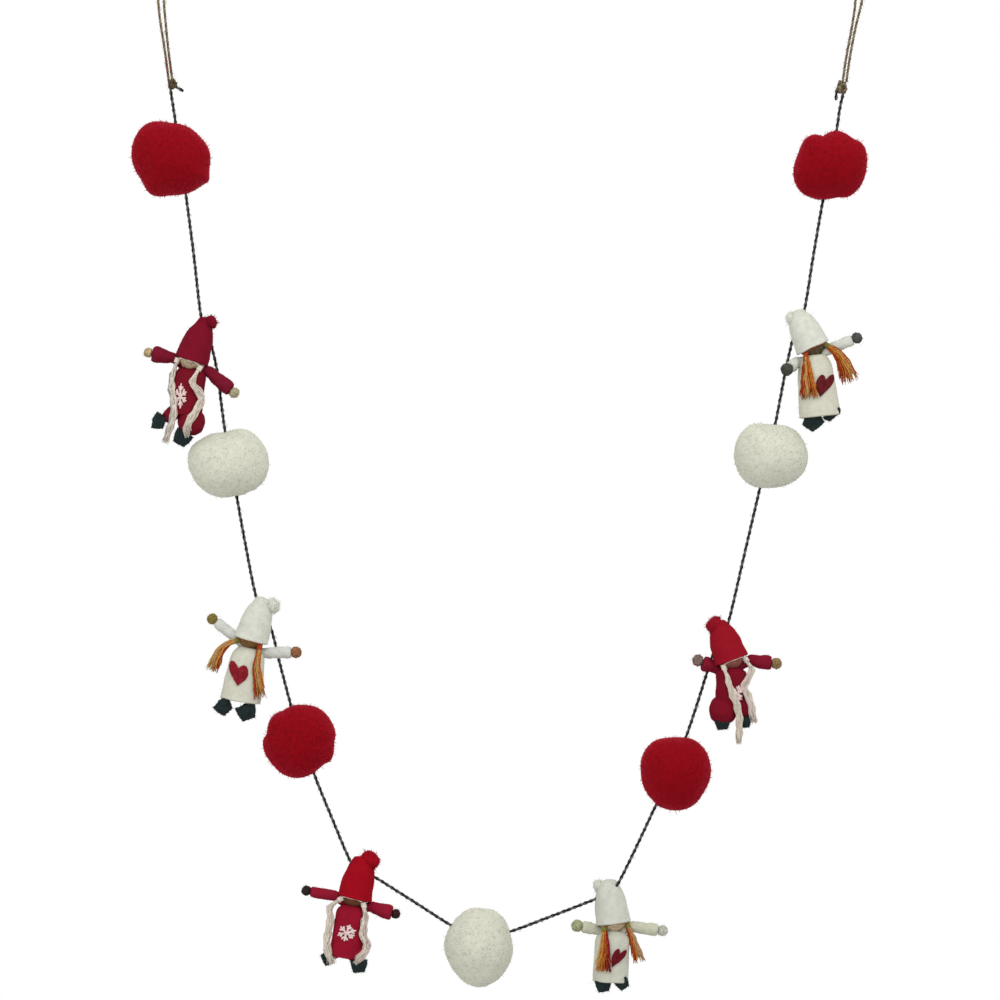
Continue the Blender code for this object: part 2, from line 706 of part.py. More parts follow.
def make_hair(name, gnome, base):
    """The hairline under the brim, a tie at each end of it, and the locks that hang from the ties."""
    hair = make_hairline(name, gnome, "cream" if gnome.suit == "red" else "ginger", base)
    for side, bunch in ((-1, gnome.left_hair), (1, gnome.right_hair)):
        tie = under_brim(gnome, ROOT_TURN * side, ROOT_DROP)
        tie_ball = ball(f"{name}_tie_{side}", ROOT_RADIUS, tie, parent=base, segments=6, rings=4)
        boolean(hair, tie_ball, "UNION")
        for lock in range(bunch.locks):
            points = lock_points(gnome, bunch, tie, lock / (bunch.locks - 1) - 0.5)
            thick = bunch.radius
            radii = [0.7 * thick] + [thick] * (len(points) - 2) + [0.45 * thick]
            strand = tube_mesh(f"{name}_lock_{side}_{lock}", points, radii, parent=base, sides=4)
            boolean(hair, strand, "UNION")
    return hair


def make_shoe(name, side, shoe, base):
    """A felt wedge that narrows to its sole."""
    mesh = bpy.data.meshes.new(name)
    shape = bmesh.new()
    half = math.sqrt(0.5)  # a side of the cone's four is this far from its axis
    sole = SHOE_SOLE * half
    bmesh.ops.create_cone(shape, segments=4, cap_ends=True, radius1=sole, radius2=half, depth=1.0)
    shape.transform(Matrix.Rotation(math.radians(45), 4, "Z"))
    shape.transform(Matrix.Diagonal((shoe.width * MM, SHOE_DEPTH * MM, shoe.height * MM, 1.0)))
    shape.to_mesh(mesh)
    shape.free()
    made = place(f"{name}_shoe_{side}", mesh, "shoe", base)
    made.location = Vector((shoe.x, shoe.y, shoe.z)) * MM
    made.rotation_euler.y = math.radians(shoe.roll)
    bevel = made.modifiers.new("Soft edges", "BEVEL")
    bevel.width = SHOE_BEVEL * MM
    bevel.segments = 1
    return made


def make_heart(name, gnome, base):
    """A flat felt heart. Its outline is the common heart curve, 32 wide and 29 high."""
    heart = gnome.heart
    curve = bpy.data.curves.new(name, "CURVE")
    curve.dimensions = "2D"
    curve.fill_mode = "BOTH"
    curve.extrude = HEART_THICKNESS / 2 * MM
    curve.render_resolution_u = 0
    spline = curve.splines.new("POLY")
    spline.use_cyclic_u = True
    spline.points.add(HEART_POINTS - 1)
    lean, tilt = math.radians(heart.lean), math.radians(heart.tilt)
    for i, knot in enumerate(spline.points):
        t = math.tau * i / HEART_POINTS
        across = 16 * math.sin(t) ** 3 / 32 * heart.width
        up = (13 * math.cos(t) - 5 * math.cos(2 * t) - 2 * math.cos(3 * t) - math.cos(4 * t) + 2.5) / 29
        up *= heart.height
        x = across * math.cos(tilt) + up * math.sin(lean)
        z = up * math.cos(lean) + across * math.sin(tilt)
        knot.co = (x * MM, z * MM, 0.0, 1.0)
    made = place(name + "_heart", closed_mesh(name, curve), "red", base)
    front = front_of(gnome, heart.x, heart.z) + FRONT * HEART_STAND_OFF
    reach = heart.width / 4
    side_step = front_of(gnome, heart.x + reach, heart.z) - front_of(gnome, heart.x - reach, heart.z)
    made.matrix_local = (
        Matrix.Translation(Vector((heart.x, front, heart.z)) * MM)
        @ Matrix.Rotation(math.atan(side_step / (2 * reach)), 4, "Z")
        @ Matrix.Rotation(math.radians(90), 4, "X")
    )
    return made


def make_gnome(number, gnome, cord_room):
    name = f"gnome_{number}"
    base = bpy.data.objects.new(name, None)
    PARTS.objects.link(base)
    base.location = Vector((gnome.x, gnome.y, gnome.z)) * MM
    bpy.context.view_layer.update()
    arms = make_arms(name, gnome, base)
    arms_room = fatter(arms)
    head = make_head(name, gnome, base)
    boolean(head, arms_room, "DIFFERENCE")
    head_room = fatter(head)
    hat = make_hat(name, gnome, base, cord_room)
    body = make_body(name, gnome, base)
    for piece in (hat, body):
        boolean(piece, head_room, "DIFFERENCE")
        boolean(piece, arms_room, "DIFFERENCE")
    body_room = fatter(body)
    for side, shoe in zip("lr", gnome.shoes):
        boolean(make_shoe(name, side, shoe, base), body_room, "DIFFERENCE")
    hair = make_hair(name, gnome, base)
    boolean(hair, arms_room, "DIFFERENCE")
    boolean(hair, body_room, "DIFFERENCE")
    if gnome.heart:
        heart = make_heart(name, gnome, base)
        boolean(heart, body_room, "DIFFERENCE")
        boolean(heart, fatter(hair), "DIFFERENCE")


clear_scene()
PARTS = collection("Knitted garland")
CUTTERS = collection("Cutters")
cord_cutter = make_cord()
loop_cutters = make_loops()
make_knots(cord_cutter, loop_cutters)
make_pompoms(cord_cutter)
for gnome_number, gnome_row in enumerate(GNOMES, 1):
    make_gnome(gnome_number, gnome_row, cord_cutter)
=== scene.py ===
"""The looks of a knitted Christmas garland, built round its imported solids.

Tables and shapes are in millimetres and degrees, in the solids' own frame: the origin is the top of the
left loop, +X runs to the right loop, +Z is up and -Y is the front. MM turns them into metres."""

import math
from collections import namedtuple

import bmesh
import bpy
import numpy as np
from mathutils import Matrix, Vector


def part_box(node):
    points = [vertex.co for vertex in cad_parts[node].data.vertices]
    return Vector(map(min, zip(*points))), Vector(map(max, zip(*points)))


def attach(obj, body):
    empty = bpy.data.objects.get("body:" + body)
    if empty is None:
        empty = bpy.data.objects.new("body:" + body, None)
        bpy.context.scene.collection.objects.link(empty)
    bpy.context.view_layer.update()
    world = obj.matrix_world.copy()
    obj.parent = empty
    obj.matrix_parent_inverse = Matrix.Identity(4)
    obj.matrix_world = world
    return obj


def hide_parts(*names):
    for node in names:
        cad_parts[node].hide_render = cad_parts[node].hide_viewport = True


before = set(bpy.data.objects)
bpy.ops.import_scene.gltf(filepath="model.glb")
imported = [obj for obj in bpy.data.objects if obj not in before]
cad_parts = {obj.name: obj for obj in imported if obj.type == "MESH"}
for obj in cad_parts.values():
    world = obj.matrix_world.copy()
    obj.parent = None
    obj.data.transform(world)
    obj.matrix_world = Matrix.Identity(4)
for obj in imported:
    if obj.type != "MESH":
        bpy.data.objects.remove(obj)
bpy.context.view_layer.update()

MM = 0.001
FRONT = np.array([0.0, -1.0, 0.0])
HANG_SPAN = 474.5  # from loop top to loop top

# The cord and the twine
CORD_DIAMETER = 2.6
CORD_PITCH = 8.0  # of one turn of its plies
CORD_FIBRES = 400
TWINE_DIAMETER = 2.0
TWINE_PITCH = 6.5
TWINE_FIBRES = 160  # on a loop
PLY_SHARE = 0.55  # a ply's radius, as a share of the cord's
PLY_STATIONS = 8  # to a turn
FIBRE_REACH = (0.5, 2.2)
KNOT_INSET = 0.9  # of the twine's middle under the knot's outline
KNOT_SQUEEZE = 0.92  # of the twine's diameter, drawn tight
KNOT_WAVE = 0.16  # of the knot's height, up and down each turn
KNOT_STRETCH = 1.6
KNOT_FIBRES = 12  # on each turn of twine

# Yarn pompoms, and the bobbles on the hats
CORE_DROP = 0.14  # of the core under the pompom's reach
CORE_GRAIN = 0.05
PILE_SPACING = 1.5  # from strand to strand
PILE_LEAN = 1.8  # of a strand's tip, aside from its root
PILE_ROOT = 0.6  # of a strand, under its tip
PILE_RADIUS = 0.26
PILE_TAPER = np.array([1.1, 0.6])
STRAY_SPACING = 2.7  # from loose end to loose end
SPARSE_SPACING = 5.2  # of the loose ends on white pompoms
STRAY_ROOT = 1.0
STRAY_REACH = 0.9  # that loose ends stand proud of the pile
STRAY_SWAY = 0.7
STRAY_RADII = (0.21, 0.126)
BOBBLE_SPACING = 1.1
BOBBLE_ENDS = 1.2
BOBBLE_CORNERS = 12
BALL_LUMPS = 8  # waves that cross a ball and make it uneven
BALL_LUMP_SHARE = 0.006  # of its reach, for each wave

# Knitting
COLUMN_WIDTH = 2.7
ROW_HEIGHT = 2.2
STITCH_POINTS = 4  # across a stitch, and up it
STITCH_DEPTH = 0.32
STITCH_SLANT = 0.6  # of a row, from the middle of a stitch to its sides
ROW_SHARE = 0.4  # of the depth, which comes and goes with the rows
KNIT_LUMPS = 5
KNIT_LUMP_HEIGHT = 0.09
KNIT_GRAIN = 0.035
HAT_COLUMNS = 25
HAT_ROWS = 22
BODY_COLUMNS = 24
BODY_END = 14.0  # of knitting that closes the neck and the hem
HEAD_COLUMNS = 18
HEAD_ROWS = 9
LEG_END_ROWS = 5
SLEEVE_END_ROWS = 2
HAND_ROWS = 4

# Fuzz, and how many of its fibres each piece has
FUZZ_RADIUS = 0.075
FUZZ_TAPER = np.array([1.0, 0.9, 0.5])
FUZZ_ROOT = 0.2
FUZZ_SWAY = 0.55
HAT_FUZZ = 300
HEAD_FUZZ = 60
BODY_FUZZ = 300
LEG_FUZZ = 120
SLEEVE_FUZZ = 150
HAND_FUZZ = 60
SHOE_FUZZ = 160

# A doll's common sizes, as its solids have them
HEAD_RADIUS = 9.5
HEAD_HEIGHT = 3.0
BRIM_RADIUS = 11.3
SHOULDER_DROP = 8.0
SHOULDER_RADIUS = 3.5
HEM_ROLL = 1.2
DEPTH = 0.8  # the body's, as a share of its width
NECK_DROP = 5.5
FELT_THICKNESS = 1.7
SHOE_DEPTH = 10.0

# Hair, which roots at the ties, ROOT_TURN degrees to either side of the face's middle
ROOT_DROP = 2.8
ROOT_TURN = 60.0
HAIRLINE_RADIUS = 9.6
HAIRLINE_DROP = 1.2
HAIRLINE_STRANDS = 3
HAIRLINE_THREAD = 0.34
BUNCH_END = 2.2  # that loose strands reach past their bunch's route
STRAND_STATIONS = 16
ROVING_STRANDS = 44  # to a lock
ROVING_RADIUS = 0.33
PIGTAIL_STRANDS = 22
PIGTAIL_RADIUS = 0.38
PIGTAIL_TOP = 1.8  # its width under the tie
TIE_RADIUS = 1.45
TIE_THREAD = 0.5
TIE_TURNS = 4

# Felt and embroidery
HEART_POINT = 2.1  # 3 gives the heart a sharp point, and less a blunter one
HEART_POINTS = 64
FLAKE_RADII = 0.72 * np.array([0.7, 1, 1.1, 1.1, 1.1, 1, 0.6])
SHOE_SOLE = 0.62  # of the shoe's width at its top
SHOE_SQUARE = 0.68  # how much of its form is a block
SHOE_ROUND = 0.3904  # and how much a ball
SEAM_RISE = 0.07
SEAM_WIDTH = 0.07

# The view and the lights, in metres
CAMERA_DISTANCE = 3.0
CAMERA_SENSOR = 36.0  # in millimetres
FRAME_WIDTH = 0.68
FRAME_MIDDLE = (0.2305, -0.3672)
LIGHT_AIM = (0.23, 0.0, -0.37)
ROOM_STRENGTH = 0.84

# From the left tail to the right one: x, y, z
CORD_ROUTE = (
    (15.2, -0.8, -89.2), (11.4, -0.8, -87), (8.6, -0.6, -85.4), (6.5, 0.4, -87.6),
    (7.2, 0.4, -93), (9.7, 0, -109.3), (13, 0, -134), (16.9, 0, -159.8),
    (22.2, 0, -200), (27.2, -1, -241.8), (31.6, 2, -254), (35.2, 5.2, -267),
    (38.4, 6.4, -283), (40.6, 3, -300), (43.9, 0, -322.7), (47.5, 0, -343),
    (51.1, 0, -362.8), (57.5, 0, -398), (64.6, -1, -432.5), (70.5, 2, -445),
    (75.4, 5, -457.5), (79.6, 5.6, -474.9), (84, 2, -491), (89, 0, -509),
    (96.4, 0, -531.5), (104.3, 0, -554.1), (116, 0, -583), (129, -2, -613),
    (135.5, -1.6, -619.5), (144.2, -1, -622.9), (172, 0, -640.4), (200.6, 0, -658.2),
    (218, 0, -663.4), (236.1, 0, -661), (266, 0, -650), (295.6, 0, -638.5),
    (304, -2.4, -634.4), (309.6, -4.4, -629.4), (320, -2.4, -609.5), (336.6, 0, -574.5),
    (347.6, 0, -551), (356.7, 0, -529), (364.6, 3.6, -506.5), (371, 6.6, -486.6),
    (375, 6.8, -474.2), (381, 4.6, -461), (386.1, 1, -449.5), (396.5, 0, -405),
    (407.7, 0, -357.2), (412.7, 0, -337), (417.7, 0, -315.5), (421.4, 1.4, -297),
    (424.8, 3.6, -280), (429.2, 4.2, -260.4), (433.6, 2, -247.5), (437.8, 0, -236.4),
    (443.6, 0, -201), (450.4, 0, -161.7), (455, 0, -139), (459.4, 0, -115.9),
    (461.6, 0.3, -101), (463.4, 0.8, -93), (463.6, 0.4, -88.6), (461.4, -1.2, -86.2),
    (459.3, -1.8, -89.4), (458.9, -1.8, -95.4),
)
# From the knot up, over the top and back down: x from the loop's top, z
LEFT_LOOP = (
    (5.2, -81.6), (2.5, -61), (-0.5, -42), (-2, -27), (-2.8, -12),
    (-2.2, -3), (0, 0), (2.2, -3), (2.8, -12), (2, -27),
    (3.1, -42), (5, -61), (7.7, -81.6),
)
RIGHT_LOOP = (
    (-11, -83), (-8.5, -66), (-4.8, -46), (-2.2, -27), (-2.8, -12),
    (-2.2, -3), (0, 0), (2.2, -3), (2.8, -12), (2.2, -27),
    (-2.2, -46), (-6, -66), (-8.5, -83),
)

# The pompoms' outlines in the front view: degrees clockwise from the top, and the reach from the middle
POMPOMS = (
    ((0, 25), (45, 24.5), (75, 26), (105, 26.5), (120, 29.5), (135, 27), (180, 25), (210, 28),
     (235, 25.5), (270, 27), (315, 29.5), (345, 26.5)),
    ((0, 22.5), (30, 26.5), (75, 27.5), (120, 26.5), (150, 23), (200, 23), (240, 25.5), (285, 27.5),
     (315, 25.5), (345, 22.5)),
    ((0, 26), (25, 26.5), (75, 25.5), (90, 24), (120, 25), (135, 22.5), (180, 24.5), (210, 24.5),
     (230, 23.5), (270, 25), (285, 23), (315, 26), (335, 24.5)),
    ((0, 27), (30, 26.5), (60, 23.5), (85, 22.5), (130, 24), (180, 27), (230, 23.5), (285, 24),
     (315, 25), (345, 27)),
    ((0, 25), (50, 26), (75, 24), (115, 22.5), (165, 25), (205, 25), (225, 24), (280, 24), (315, 26.5),
     (345, 25)),
    ((0, 21.5), (15, 21.5), (45, 24), (95, 25.5), (135, 24.5), (175, 22.5), (225, 24.5), (270, 24.5),
     (320, 25.5), (345, 22.5)),
    ((0, 22), (15, 24), (40, 24), (60, 27), (95, 25), (130, 25.5), (150, 25), (170, 22), (210, 26),
     (235, 27), (285, 23.5), (315, 24.5), (330, 23.5), (345, 20)),
)


Knot = namedtuple("Knot", "name x z width height lean")
KNOTS = (
    Knot("knot_left", 7.6, -84.7, 7.0, 9.6, -12),
    Knot("knot_right", 462.6, -87.3, 8.2, 11.0, 14),
)
# How each turn of a knot's twine is tilted and swung, and its share of the knot's width
KNOT_TURNS = (
    (24, 10, 1.0), (-28, 60, 0.92), (6, 120, 0.8), (58, 35, 0.6), (-70, 80, 0.45), (40, 0, 0.3),
)

# A gnome's place is the middle of its hat's brim, and its parts are placed from there. A lean or a turn of
# the face is positive to the right. Of arms, shoes, legs and bunches of hair, the left one comes first.
Hat = namedtuple("Hat", "lean height tip_radius bobble_x bobble_drop bobble_radius")
Body = namedtuple("Body", "lean length chest hem")
Arm = namedtuple("Arm", "shoulder hand sleeve fist")  # the last two are radii
Leg = namedtuple("Leg", "hip ankle radius")
Shoe = namedtuple("Shoe", "x y z width height roll")
Bunch = namedtuple("Bunch", "locks spread radius route")  # the route's x and z under the tie
Heart = namedtuple("Heart", "x z width height lean tilt")  # tilt raises its right lobe
Gnome = namedtuple(
    "Gnome", "suit place face_turn hat body arms shoes hair legs heart", defaults=((), None)
)
GNOMES = (
    Gnome(
        "red", (20.8, -3, -272.7), -9,
        Hat(19, 31.5, 5.2, 3.8, 2.2, 4.8), Body(5, 37, 10.6, 10.2),
        (Arm((-11.6, 1.5, 1.6), (-29.2, 1, 5.6), 5.6, 3.3),
         Arm((10.8, 1.5, -6.8), (29.2, -0.5, -21.6), 4.9, 3.6)),
        (Shoe(-21.8, -2, -41.2, 12, 8, -70), Shoe(-6.2, -1, -52.4, 13.2, 9.8, 32)),
        (Bunch(2, 3.2, 1.5, ((-13.3, -15), (-11.4, -34.7), (-17.3, -54.4))),
         Bunch(2, 3.6, 1.4, ((1.4, -15), (7.6, -26), (-1.8, -43.5), (-2, -50.3)))),
        legs=(Leg((-6, 0, -31), (-18.6, -1, -40), 4.8), Leg((1, 0, -33), (-1, -1, -50), 9)),
    ),
    Gnome(
        "white", (61.4, -3, -462.4), -11,
        Hat(16, 30.5, 6.4, 7.6, 4, 5.2), Body(10, 42, 11.2, 13.6),
        (Arm((-11.8, 1.5, 2.6), (-26.4, 1, 14.4), 3.7, 3.7),
         Arm((10.5, 1.5, -8.8), (30.6, 0, -8.2), 4, 3.9)),
        (Shoe(-18.4, -2, -45.2, 12.8, 9.4, -38), Shoe(-2.8, -2.5, -48.8, 14.4, 10.2, -17)),
        (Bunch(4, 5.4, 1.25, ((-15.8, -2.4), (-21.4, -8.3), (-25.8, -19.6))),
         Bunch(3, 4.8, 1.25, ((4.2, -17), (5, -26), (7.2, -38)))),
        heart=Heart(-8.2, -23, 14.2, 15.2, 3, -20),
    ),
    Gnome(
        "red", (131.6, -1, -637.6), -11,
        Hat(13, 29, 7.8, 4.2, 1.9, 6.8), Body(9, 41, 10.8, 10.8),
        (Arm((-12.8, 1.5, 0.8), (-32.8, 1, 4.8), 3.7, 3.4),
         Arm((10.8, 1.5, -6.4), (28, 0.5, -11), 5.2, 3.2)),
        (Shoe(-18.4, -1, -41.4, 8, 8.4, -14), Shoe(3.1, -2.5, -46, 12, 9, 0)),
        (Bunch(2, 3.4, 1.5, ((-17, -6.4), (-16.2, -13.9), (-18.8, -30.9), (-15.2, -43.6))),
         Bunch(2, 3.6, 1.5, ((7.6, -12.4), (6, -23.6), (8.8, -33.6), (1.6, -42.6)))),
        legs=(Leg((-8, 0.5, -33), (-16.6, -0.5, -39), 4.8), Leg((1, 0, -33), (2.3, -0.5, -43), 6.6)),
    ),
    Gnome(
        "white", (307.6, 1, -654.8), 16,
        Hat(-8, 30, 7.8, -6.2, 3.6, 4.2), Body(3, 40, 11.6, 12),
        (Arm((-11.6, 1.5, -4.6), (-24.7, 0.5, -2.1), 4.1, 4.1),
         Arm((12, 1.5, -2.8), (33.6, 0.5, -5.4), 4.1, 3.7)),
        (Shoe(-6.9, -2, -42.4, 11.5, 8.4, -4), Shoe(6.2, -2, -41, 10, 7.6, -31)),
        (Bunch(4, 7.8, 1.25, ((-6.2, -16), (-7.4, -30.8))),
         Bunch(3, 5.2, 1.25, ((13.6, -12), (17.8, -25)))),
        heart=Heart(2.4, -23.2, 8.4, 13.6, 31, -12),
    ),
    Gnome(
        "red", (387.6, -3, -475.8), 16,
        Hat(-19, 28.6, 6.4, -2.8, 2.6, 6), Body(1, 32, 10.2, 10),
        (Arm((-10.6, 1.5, -5.8), (-22.6, 0.5, -0.4), 5.2, 4),
         Arm((12.8, 1.5, -0.6), (30.6, 0.5, -2.4), 4.9, 3.9)),
        (Shoe(-6.1, -2, -43.8, 10.5, 7, 0), Shoe(9.8, -1.5, -42.4, 7.6, 7.2, 4)),
        (Bunch(2, 3, 1.5, ((-2.4, -14), (-0.2, -21.5), (3.8, -32), (5, -41), (4.8, -55))),
         Bunch(2, 3.4, 1.5, ((13.8, -7.4), (8.6, -18), (12.4, -27), (15.4, -41.5)))),
        legs=(Leg((-4.5, 0, -25), (-6.5, -1, -43), 9.2), Leg((5.4, 1, -24), (10.6, 0, -40), 6.4)),
    ),
    Gnome(
        "white", (443, -3, -263.6), 13,
        Hat(-25, 28, 6.8, -4.4, 4, 4.7), Body(-6, 47, 11.4, 13.8),
        (Arm((-10.4, 0.5, -10), (-18.2, -9, -15.2), 4, 4.2),
         Arm((11.6, 1.5, -1.2), (29.9, 0, 6.5), 3.8, 3.8)),
        (Shoe(-0.4, -2, -50.4, 13.8, 11.4, 38), Shoe(13.4, -1, -45.6, 14, 4.8, -34)),
        (Bunch(4, 8.2, 1.25, ((-4.6, -17), (-3.4, -34))),
         Bunch(4, 9.8, 1.25, ((16.8, -4.4), (21.2, -12), (25, -22.4)))),
        heart=Heart(6.8, -26.2, 12.2, 16, 19, 3),
    ),
)


def unit(vectors):
    return vectors / np.linalg.norm(vectors, axis=-1, keepdims=True)


def smooth(points, steps=8):
    """A smooth curve through the points, with steps between each two."""
    points = np.asarray(points, float)
    points = np.vstack([2 * points[0] - points[1], points, 2 * points[-1] - points[-2]])
    t = (np.arange(steps) / steps)[:, None]
    parts = []
    for a, b, c, d in zip(points, points[1:], points[2:], points[3:]):
        square, cube = 2 * a - 5 * b + 4 * c - d, 3 * b - a - 3 * c + d
        parts.append(0.5 * (2 * b + (c - a) * t + square * t**2 + cube * t**3))
    return np.vstack([*parts, points[-2][None]])


def joined(*values):
    """Vectors from their parts."""
    return np.stack(values, axis=-1)


def travel(path):
    """How far along a path each of its points lies."""
    return np.concatenate([[0.0], np.cumsum(np.linalg.norm(np.diff(path, axis=0), axis=1))])


def between(at, far, rows):
    """The rows, which lie so far along, as they are at places between them."""
    return joined(*(np.interp(at, far, column) for column in rows.T))


def resample(path, count):
    """The path as so many points, evenly spaced."""
    far = travel(path)
    return between(np.linspace(0, far[-1], count), far, path)


def ways_off(line):
    """Two ways square to a line at each of its points: the one nearest the front, and one across it."""
    along = unit(np.gradient(line, axis=0))
    out = unit(FRONT - (along @ FRONT)[:, None] * along)
    return out, np.cross(along, out)


def lean_by(points, degrees):
    """Turned about Y, so that the top tips towards +X."""
    turn = math.radians(degrees)
    x, y, z = points[..., 0], points[..., 1], points[..., 2]
    return joined(x * math.cos(turn) + z * math.sin(turn), y, z * math.cos(turn) - x * math.sin(turn))


class Shape:
    """Points and faces gathered into one mesh. paint is the index of a face's finish."""

    def __init__(self):
        self.points, self.faces, self.paints = [], [], []

    def add(self, points, face_lists, paint=0):
        start = sum(map(len, self.points))
        for faces in face_lists:
            self.faces += (faces + start).tolist()
            self.paints += [paint] * len(faces)
        self.points.append(np.reshape(points, (-1, 3)))

    def piece(self, name, finishes, replaced=None, place=(0, 0, 0)):
        mesh = bpy.data.meshes.new(name)
        points = (np.vstack(self.points) + np.asarray(place, float)) * MM
        mesh.from_pydata(points.tolist(), [], self.faces)
        mesh.polygons.foreach_set("material_index", self.paints)
        for finish in finishes:
            mesh.materials.append(finish)
        mesh.shade_smooth()
        made = bpy.data.objects.new(name, mesh)
        bpy.context.scene.collection.objects.link(made)
        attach(made, "root")
        if replaced:
            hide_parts(replaced)
        return made


def net_faces(index):
    """Faces between the rows of a net of points, each row closed on itself. index numbers the points."""
    low, high = index[..., :-1, :], index[..., 1:, :]
    return joined(low, np.roll(low, -1, -1), np.roll(high, -1, -1), high).reshape(-1, 4)


def tubes(paths, radii, sides=4, out=None):
    """Points and faces of round tubes, one for each path. paths is (tubes, points, 3), and out is a way off
    them, where it matters."""
    paths = np.asarray(paths, float)
    count, steps = paths.shape[:2]
    radii = np.broadcast_to(radii, (count, steps))
    along = unit(np.gradient(paths, axis=1))
    if out is None:
        chord = unit(paths[:, -1] - paths[:, 0])
        helper = np.where(np.abs(chord[:, 2:]) < 0.8, [0.0, 0.0, 1.0], [1.0, 0.0, 0.0])
        out = np.cross(chord, helper)[:, None, :]
    out = unit(out - (out * along).sum(-1, keepdims=True) * along)
    across = np.cross(along, out)
    turn = (math.tau * np.arange(sides) / sides)[:, None]
    ring = out[:, :, None] * np.cos(turn) + across[:, :, None] * np.sin(turn)
    points = paths[:, :, None] + radii[:, :, None, None] * ring
    index = np.arange(count * steps * sides).reshape(count, steps, sides)
    return points.reshape(-1, 3), [net_faces(index), index[:, 0, ::-1], index[:, -1]]


def knit(ring, columns, rows, rng):
    """A closed tube of stocking stitch: its points, outward directions and faces. ring(turn, rise) gives
    the plain surface, both from 0 to 1."""
    turn = np.arange(STITCH_POINTS * columns)[None] / (STITCH_POINTS * columns)
    rise = np.linspace(0, 1, STITCH_POINTS * rows + 1)[:, None]
    plain = ring(turn, rise)
    chord = np.roll(plain, -1, 1) - np.roll(plain, 1, 1)
    width = np.linalg.norm(chord, axis=-1) * STITCH_POINTS / 2
    normal = unit(np.cross(chord, np.gradient(plain, axis=0)) + 1e-9)
    side = np.abs(2 * (turn * columns % 1) - 1)
    leg = np.sin(np.pi * (2 * turn * columns % 1)) ** 0.6
    wave = 0.5 + 0.5 * np.cos(math.tau * (rise * rows - STITCH_SLANT * side))
    relief = leg * (1 - ROW_SHARE + ROW_SHARE * wave) - 0.5
    height = np.minimum(STITCH_DEPTH, 0.3 * width) * relief
    lumps = np.zeros_like(height)
    for _ in range(KNIT_LUMPS):
        waves, climbs, start = rng.integers(1, 6), rng.uniform(-5, 5), rng.uniform(0, 1)
        lumps += KNIT_LUMP_HEIGHT * np.sin(math.tau * (waves * turn + climbs * rise + start))
    height += lumps * np.minimum(1, width) + rng.normal(0, KNIT_GRAIN, height.shape)
    points = plain + normal * height[..., None]
    index = np.arange(points[..., 0].size).reshape(points.shape[:2])
    return points.reshape(-1, 3), normal.reshape(-1, 3), [net_faces(index), index[:1, ::-1], index[-1:]]


def add_knit(shape, ring, columns, rows, rng, fuzz, paint=0):
    """Knitting with short loose fibres that stand off it and bend."""
    points, normal, faces = knit(ring, columns, rows, rng)
    shape.add(points, faces, paint)
    picked = rng.integers(0, len(points), fuzz)
    start = points[picked] - FUZZ_ROOT * normal[picked]
    sway = rng.normal(0, FUZZ_SWAY, (fuzz, 3))
    reach = rng.gamma(2.5, 0.3, (fuzz, 1))
    middle = start + (normal[picked] + 0.6 * sway) * reach * 0.6
    tip = middle + (normal[picked] * 0.5 + 1.3 * sway) * reach * 0.6
    hairs = np.stack([start, middle, tip], axis=1)
    shape.add(*tubes(hairs, FUZZ_RADIUS * FUZZ_TAPER, sides=3), paint)


def turned_ring(profile, lean, depth=1.0):
    """A round surface from (radius, z) rows, bottom to top. depth is over its width."""
    curve = resample(smooth(profile), 160)
    share = np.linspace(0, 1, len(curve))

    def ring(turn, rise):
        radius, z = (np.interp(rise, share, column) for column in curve.T)
        x = radius * np.sin(math.tau * turn)
        y = -depth * radius * np.cos(math.tau * turn)
        return lean_by(joined(*np.broadcast_arrays(x, y, z)), lean)

    return ring


def swept_ring(stations):
    """A round surface along a path. stations has rows of x, y, z and radius."""
    rows = resample(smooth(stations), 80)
    share = np.linspace(0, 1, len(rows))
    ways = ways_off(rows[:, :3])

    def ring(turn, rise):
        station, out, across = (between(rise, share, values) for values in (rows, *ways))
        angle = (math.tau * turn)[..., None]
        return station[..., :3] + station[..., 3:] * (out * np.cos(angle) + across * np.sin(angle))

    return ring


def emptied(net):
    """The points and faces of a net, which is freed."""
    points = np.array([vert.co for vert in net.verts])
    faces = np.array([[vert.index for vert in face.verts] for face in net.faces])
    net.free()
    return points, faces


def ball_reach(outline, rng):
    """Gives a slightly uneven ball's reach in any direction. outline is its front view: rows of degrees
    clockwise from the top, from 0 up, and reach."""
    depth = np.mean(outline[:, 1])
    whole_turn = np.array([360, 0])
    rows = np.vstack([outline[-1:] - whole_turn, outline, outline[:2] + whole_turn])
    clock, steps = smooth(rows, 6).T
    waves = rng.normal(0, 4.0, (BALL_LUMPS, 3))
    starts = rng.uniform(0, math.tau, BALL_LUMPS)

    def towards(direction):
        degrees = np.degrees(np.arctan2(direction[..., 0], direction[..., 2])) % 360
        flat = np.interp(degrees, clock, steps)
        across = np.hypot(direction[..., 0], direction[..., 2])
        plain = 1 / np.sqrt((across / flat) ** 2 + (direction[..., 1] / depth) ** 2)
        lumps = BALL_LUMP_SHARE * np.sin(direction @ waves.T + starts).sum(-1)
        return (plain * (1 + lumps))[..., None]

    return towards


def even_ways(count, rng):
    """Directions spread evenly over a ball, each a little off its place."""
    rank = np.arange(count) + 0.5
    turn = rank * math.pi * (3 - math.sqrt(5))
    up = 1 - 2 * rank / count
    across = np.sqrt(1 - up**2)
    ways = joined(across * np.cos(turn), across * np.sin(turn), up)
    return unit(ways + rng.normal(0, 0.9 / math.sqrt(count), ways.shape))


